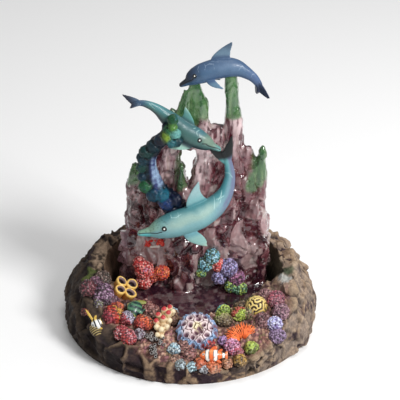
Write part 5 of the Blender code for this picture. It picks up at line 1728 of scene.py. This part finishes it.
def fan_coral():
    """The orange fan coral."""
    ground = leant(reef_frame(*FAN_PLACE), FAN_LEAN)
    spots, faces = ball(steps=5)
    cushion = spots * (FAN_REACH * 0.84, FAN_REACH * 0.50, 2.4) + (0.0, 0.4, -0.8)
    parts = [(stand(ground, cushion), faces)]
    plain = len(spots)
    root = np.array(FAN_ROOT)
    for index in range(FAN_RIBS):
        angle = math.radians(mix(*FAN_OPENS, (index + 0.5 * (chance("turn", index) - 0.5))
                                 / (FAN_RIBS - 1)))
        wide = FAN_REACH * math.cos(angle)
        deep = FAN_REACH * 0.62 * math.sin(angle) + 0.6 - root[1]
        end = np.array((wide, deep, 0.0)) * mix(0.90, 1.08, chance("long", index))
        length = np.linalg.norm(end)
        way = end / length
        first = 0.12 + 0.1 * chance("first", index)
        parts.append(rib(ground, root + way * length * first, way, length * (1 - first), 0.42,
                         RIB_LIFT, ("main", index)))
        for fork in (0, 1):
            lean = (0.28 + 0.15 * chance("lean", index, fork)) * (1 if fork else -1)
            split = np.array((way[0] * math.cos(lean) - way[1] * math.sin(lean),
                              way[0] * math.sin(lean) + way[1] * math.cos(lean), 0.0))
            begin = 0.45 + 0.2 * chance("begin", index, fork)
            lift = RIB_LIFT * math.sin(math.pi * begin ** 0.8)
            spot = root + way * length * begin + np.array((0, 0, lift * 0.9))
            parts.append(rib(ground, spot, split, length * (0.92 - begin), 0.33, 0.5 - 0.2 * fork,
                             ("fork", index, fork)))
    skin = Skin(mesh_of(*joined(parts)))
    ribs = np.arange(len(skin.points)) >= plain
    patch = wander(skin.points, 2.4, 141, 2)
    skin.blend((58, 16, 14))
    skin.blend((240, 118, 58), ribs.astype(float))
    skin.blend((246, 150, 88), 0.6 * ribs * ease(0.1, 0.7, patch))
    skin.blend((196, 78, 34), 0.6 * ribs * ease(0.1, 0.7, -patch))
    finish = painted("fan_paint", roughness=(0.4, 0.6), tone_scale=1200)
    skin.piece("orange_fan_coral", finish, "painted_rock")


# Grey barnacle tubes and the ribbed tan fringe

BARNACLES = (
    (-113.0, 0.57, 5), (-110.5, 0.56, 6), (-105.5, 0.61, 5), (-108.5, 0.72, 7), (-106.5, 0.80, 4),
)
BARNACLE_PROFILE = (
    (1.25, -0.3, 0), (1.12, 0.3, 0), (1.0, 0.7, 0), (1.0, 0.93, 1), (0.86, 1.0, 1), (0.68, 0.98, 1),
    (0.58, 0.85, 2), (0.5, 0.6, 3), (0.2, 0.55, 3),
)
BARNACLE_SPREAD = 2.3
BARNACLE_SIDES = 14
FRINGE_PLACE = (-139, 0.98)
FRINGE_SIZE = (5.4, 3.6, 3.4)
FRINGE_WAVES = 24.2


def barnacles(finish):
    """Short pale tubes with dark mouths, in clusters."""
    parts = []
    for group, (degrees, share, count) in enumerate(BARNACLES):
        ground = reef_frame(degrees, share)
        for i in range(count):
            angle = 2 * math.pi * i / count + chance("around", group, i)
            out = BARNACLE_SPREAD * mix(0.5, 1.0, chance("far", group, i)) * (i > 0)
            spot = (out * math.cos(angle), out * math.sin(angle))
            radius = mix(0.8, 1.2, chance("wide", group, i))
            height = mix(1.8, 3.0, chance("tall", group, i))
            rough = 1 + 0.08 * np.cos(5 * turns(BARNACLE_SIDES) + i)
            parts.append(tube(ground, BARNACLE_PROFILE, spot, radius, height, 0.35, rough))
    parts, zone = zip(*parts)
    skin = Skin(mesh_of(*joined(parts)))
    zone = np.concatenate(zone)
    dust = wander(skin.points, 1.6, 151, 2)
    skin.blend((84, 68, 64))
    skin.blend((126, 116, 112), ease(-0.2, 0.6, dust))
    skin.blend((168, 166, 164), 0.85 * (zone == 1) * ease(-0.6, 0.2, dust))
    skin.blend((34, 22, 24), ease(1.5, 2.3, zone))
    skin.piece("barnacle_tubes", finish, "painted_rock")


def ribbed_fringe(finish):
    """A low shell with tan ribs, at the reef's left edge."""
    ground = reef_frame(*FRINGE_PLACE)
    spots, faces = ball(steps=5)
    angle = np.arctan2(spots[:, 1], spots[:, 0])
    wave = np.cos(FRINGE_WAVES * spots[:, 0])
    local = spots * FRINGE_SIZE
    local[:, 2] = np.where(local[:, 2] < 0, local[:, 2] * SINK, local[:, 2])
    skin = Skin(mesh_of(stand(ground, local), faces))
    skin.swell(0.42 * wave * ease(0.1, 0.5, spots[:, 2]) + 0.15 * wander(skin.points, 1.2, 161, 2))
    skin.blend((74, 58, 42))
    skin.blend((176, 156, 100), ease(0.0, 0.7, wave) * ease(0.1, 0.5, spots[:, 2]))
    skin.blend((30, 22, 20), ease(-0.2, -0.8, wave) * ease(0.1, 0.5, spots[:, 2]))
    skin.blend((60, 44, 38), 0.5 * ease(0.4, 1.0, np.abs(np.sin(2 * angle)))
               * ease(0.4, 0.1, spots[:, 2]))
    skin.piece("ribbed_fringe", finish, "painted_rock")


# The small reef fish: share of the length, then half the height and half the thickness of the body

CLOWN_FORM = (
    (0.0, 0.02, 0.02), (0.03, 0.11, 0.08), (0.10, 0.24, 0.16), (0.22, 0.40, 0.25),
    (0.38, 0.49, 0.29), (0.54, 0.45, 0.26), (0.68, 0.32, 0.19), (0.80, 0.19, 0.11),
    (0.87, 0.17, 0.08), (0.94, 0.29, 0.05), (1.0, 0.33, 0.03),
)
FISH_LEAN = 20
FISH_SIDES = 36
FISH_STEPS = 5
FISH_FIN_LEVELS = 12
FISH_FIN_SIDES = 14
DISC_FORM = (
    (0.0, 0.03, 0.02), (0.05, 0.12, 0.07), (0.16, 0.32, 0.16), (0.32, 0.48, 0.23),
    (0.50, 0.54, 0.24), (0.66, 0.50, 0.20), (0.78, 0.34, 0.12), (0.86, 0.16, 0.07),
    (0.92, 0.20, 0.05), (1.0, 0.32, 0.03),
)


def fish_parts(form, length, height, fins):
    """A reef fish lying on its side, nose at -x: its body, then its fins as thin rounded blades."""
    profile = smooth_profile(form, FISH_STEPS)
    turn = turns(FISH_SIDES)
    rings = [np.stack([np.full(FISH_SIDES, (share - 0.5) * length), height * tall * np.sin(turn),
                       height * thick * np.cos(turn)], 1) for share, tall, thick in profile]
    parts = [loft(rings)]
    for (x, y), (tip_x, tip_y), width, thickness in fins:
        root = np.array(((x - 0.5) * length, y * height, 0.05 * height))
        tip = np.array(((tip_x - 0.5) * length, tip_y * height, 0.07 * height))
        way = unit(tip - root)
        side = np.array((-way[1], way[0], 0.0))
        blade = []
        for share in np.linspace(0, 1, FISH_FIN_LEVELS):
            taper = 0.35 if share < 0.5 else 0.98
            wide = width * height * math.sqrt(max(0.02, 1 - (2 * share - 1.0) ** 2 * taper))
            ring = []
            for turn in turns(FISH_FIN_SIDES):
                over = np.array((0, 0, thickness * math.sin(turn)))
                ring.append(mix(root, tip, share) + side * wide * math.cos(turn) + over)
            blade.append(ring)
        parts.append(loft(blade))
    return parts


def reef_fish(name, form, place_of, length, height, heading, lift, fins, paint_it):
    """A small fish against the ground, painted by its own coordinates: along, up and out."""
    points, faces = joined(fish_parts(form, length, height, fins))
    skin = Skin(mesh_of(points, faces))
    skin.points = points
    along = points[:, 0] / length + 0.5
    rise = points[:, 1] / height
    out = points[:, 2] / height
    body = np.arange(len(points)) < ((len(form) - 1) * FISH_STEPS + 1) * FISH_SIDES
    paint_it(skin, along, rise, out, body)
    turned = np.stack([points[:, 0] * math.cos(heading) - points[:, 1] * math.sin(heading),
                       points[:, 0] * math.sin(heading) + points[:, 1] * math.cos(heading),
                       points[:, 2] + lift], 1)
    skin.points = stand(leant(facing(reef_frame(*place_of)), FISH_LEAN), turned)
    finish = painted(name + "_paint", roughness=(0.3, 0.5), tone=(0.92, 1.08), tone_scale=1500,
                     coat=0.3)
    skin.piece(name, finish, "painted_rock")


def paint_clown(skin, along, rise, out, body):
    """Orange with three white bands edged in black."""
    skin.blend((226, 108, 44))
    # Painted light and shade: paler orange on the upper body, darker on the lower.
    skin.blend((240, 140, 72), ease(0.0, 0.3, rise) * ease(-0.2, 0.2, out))
    skin.blend((190, 76, 30), ease(-0.15, -0.45, rise))
    fins = (~body).astype(float)
    skin.blend((214, 96, 42), fins)
    for centre, width, bow in ((0.27, 0.050, 0.06), (0.56, 0.060, 0.05), (0.84, 0.036, 0.0)):
        far = np.abs(along - centre - bow * (rise * rise * 4 - 0.4))
        skin.blend((16, 12, 14), ease(width + 0.030, width + 0.016, far) * body)
        skin.blend((238, 236, 228), ease(width + 0.006, width - 0.006, far) * body)
    skin.blend((16, 12, 14), ease(0.975, 0.995, along) * body)
    eye = np.hypot((along - 0.12) * 2.25, rise - 0.07)
    skin.blend((240, 236, 220), ease(0.085, 0.07, eye) * (out > 0) * body)
    skin.blend((10, 8, 10), ease(0.060, 0.045, eye) * (out > 0) * body)


def paint_angel(skin, along, rise, out, body):
    """Teal with navy stripes along it and a yellow-green rim."""
    skin.blend((52, 104, 80))
    stripe = np.cos(2 * np.pi * 3.2 * (rise + 0.10 * np.sin(5 * along)))
    skin.blend((14, 34, 44), ease(0.15, 0.5, stripe) * ease(0.16, 0.26, along))
    skin.blend((104, 148, 108), 0.6 * ease(-0.5, -0.9, stripe))
    skin.blend((134, 140, 60), ease(0.36, 0.50, np.abs(rise)))
    skin.blend((140, 142, 62), (~body).astype(float))
    skin.blend((190, 170, 120), ease(0.10, 0.03, along))
    eye = np.hypot((along - 0.17) * 1.3, rise - 0.02)
    skin.blend((12, 14, 20), ease(0.075, 0.055, eye) * (out > 0) * body)


def paint_butterfly(skin, along, rise, out, body):
    """White with two black bands, a yellow back and a long yellow streamer."""
    skin.blend((226, 228, 226))
    skin.blend((206, 172, 70), ease(0.20, 0.34, rise))
    skin.blend((18, 18, 22), ease(0.085, 0.055, np.abs(along - 0.36 - 0.10 * rise)) * body)
    skin.blend((26, 24, 26), ease(0.06, 0.04, np.abs(along - 0.74)) * body)
    skin.blend((204, 168, 70), (~body).astype(float))
    skin.blend((200, 170, 90), ease(0.90, 0.97, along) * body)
    eye = np.hypot((along - 0.16) * 1.1, rise)
    skin.blend((14, 14, 18), ease(0.085, 0.06, eye) * (out > 0) * body)


# Each fish: name, form, place, length, height, heading, lift, fins and paint; a fin is its root,
# its tip, its width and its thickness
REEF_FISH = (
    ("clown_fish", CLOWN_FORM, (-78.5, 0.79), 18.5, 8.8, 0.03, 4.4,
     (((0.42, 0.40), (0.62, 0.62), 0.16, 0.35), ((0.66, 0.26), (0.80, 0.44), 0.10, 0.3),
      ((0.60, -0.36), (0.76, -0.55), 0.11, 0.35), ((0.40, -0.40), (0.48, -0.62), 0.08, 0.3),
      ((0.36, -0.06), (0.52, -0.16), 0.09, 1.9)),
     paint_clown),
    ("angel_fish", DISC_FORM, (-135.5, 0.26), 12.0, 11.5, -0.45, 3.6,
     (((0.40, 0.40), (0.86, 0.66), 0.14, 0.35), ((0.45, -0.42), (0.88, -0.64), 0.13, 0.35)),
     paint_angel),
    ("butterfly_fish", DISC_FORM, (-141, 0.92), 7.5, 8.0, 0.5, 3.0,
     (((0.34, 0.40), (0.20, 1.45), 0.10, 0.35), ((0.50, 0.40), (0.80, 0.62), 0.10, 0.3),
      ((0.50, -0.42), (0.78, -0.60), 0.09, 0.3)),
     paint_butterfly),
)


def reef():
    """Everything that grows and swims on the reef."""
    finish = painted("reef_paint", roughness=(0.5, 0.75), tone=(0.75, 1.25), tone_scale=1500,
                     grain=0.3)
    bead_corals(finish)
    tube_sponge()
    rosette()
    anemone()
    brain_coral()
    fan_coral()
    barnacles(finish)
    ribbed_fringe(finish)
    for fish in REEF_FISH:
        reef_fish(*fish)


# The setting, in metres

FLOOR_REACH = 3.0
FLOOR_COLOUR = (0.94, 0.94, 0.94, 1.0)
WORLD_STRENGTH = 0.36
LIGHTS = (
    ("key", (0.72, -0.55, 0.88), 0.34, 13.0), ("fill", (-0.8, -0.6, 0.5), 0.8, 0.6),
    ("top", (0.15, 0.20, 1.2), 0.6, 3.5),
)
LIGHT_AIM = (0.0, 0.0, 0.09)
CAMERA_AIM = (0.00665, 0.0, 0.0917)
CAMERA_RISE = math.radians(31.0)
CAMERA_DISTANCE = 0.9
CAMERA_LENS = 121.77
CAMERA_SENSOR = 36.0


def set_floor():
    """A pale floor under a pale world."""
    form = bmesh.new()
    bmesh.ops.create_grid(form, x_segments=8, y_segments=8, size=FLOOR_REACH)
    mesh = bpy.data.meshes.new("floor")
    form.to_mesh(mesh)
    form.free()
    finish = bpy.data.materials.new("floor_paper")
    finish.use_nodes = True
    set_values(finish.node_tree.nodes["Principled BSDF"], Base_Color=FLOOR_COLOUR, Roughness=0.9,
               Specular_IOR_Level=0.1)
    mesh.materials.append(finish)
    floor = shown("floor", mesh)
    world = bpy.data.worlds.new("studio")
    world.use_nodes = True
    set_values(world.node_tree.nodes["Background"], Color=(1.0, 1.0, 1.0, 1.0),
               Strength=WORLD_STRENGTH)
    bpy.context.scene.world = world


def set_lights():
    """Soft studio lights, all aimed at the figurine."""
    for name, spot, size, power in LIGHTS:
        light = bpy.data.lights.new(name, "AREA")
        light.size = size
        light.energy = power
        item = shown(name, light)
        item.location = spot
        x, y, z = np.array(LIGHT_AIM) - spot
        item.rotation_euler = (math.atan2(math.hypot(x, y), -z), 0.0,
                               math.atan2(y, x) - math.pi / 2)


def set_camera():
    """The camera at the photo's angle."""
    camera = bpy.data.cameras.new("camera")
    camera.lens = CAMERA_LENS
    camera.sensor_width = CAMERA_SENSOR
    item = shown("camera", camera)
    x, y, z = CAMERA_AIM
    item.location = (x, y - CAMERA_DISTANCE * math.cos(CAMERA_RISE),
                     z + CAMERA_DISTANCE * math.sin(CAMERA_RISE))
    item.rotation_euler = (math.pi / 2 - CAMERA_RISE, 0.0, 0.0)
    bpy.context.scene.camera = item
    bpy.context.scene.view_settings.view_transform = "Standard"


def main():
    """Set the stage and dress the figurine."""
    set_floor()
    set_lights()
    set_camera()
    eyes = painted("eye_paint", roughness=(0.34, 0.4), tone=(0.98, 1.0), grain=0.0)
    for look in DOLPHINS:
        dolphin(look, eyes)
    coral_stem()
    coral = painted("coral_paint", roughness=(0.45, 0.7), tone=(0.75, 1.25), tone_scale=1500,
                    grain=0.3)
    clump("red_coral_clump", CLUMP_LEFT, coral, "red_coral_paint", "coral_clump_left", 81,
          CLUMP_SPECKS)
    clump("mixed_coral_clump", CLUMP_RIGHT, coral, "mixed_coral_paint", "coral_clump_right", 85)
    clear_crag()
    sealed_coral(coral)
    rock_bowl()
    reef()


main()
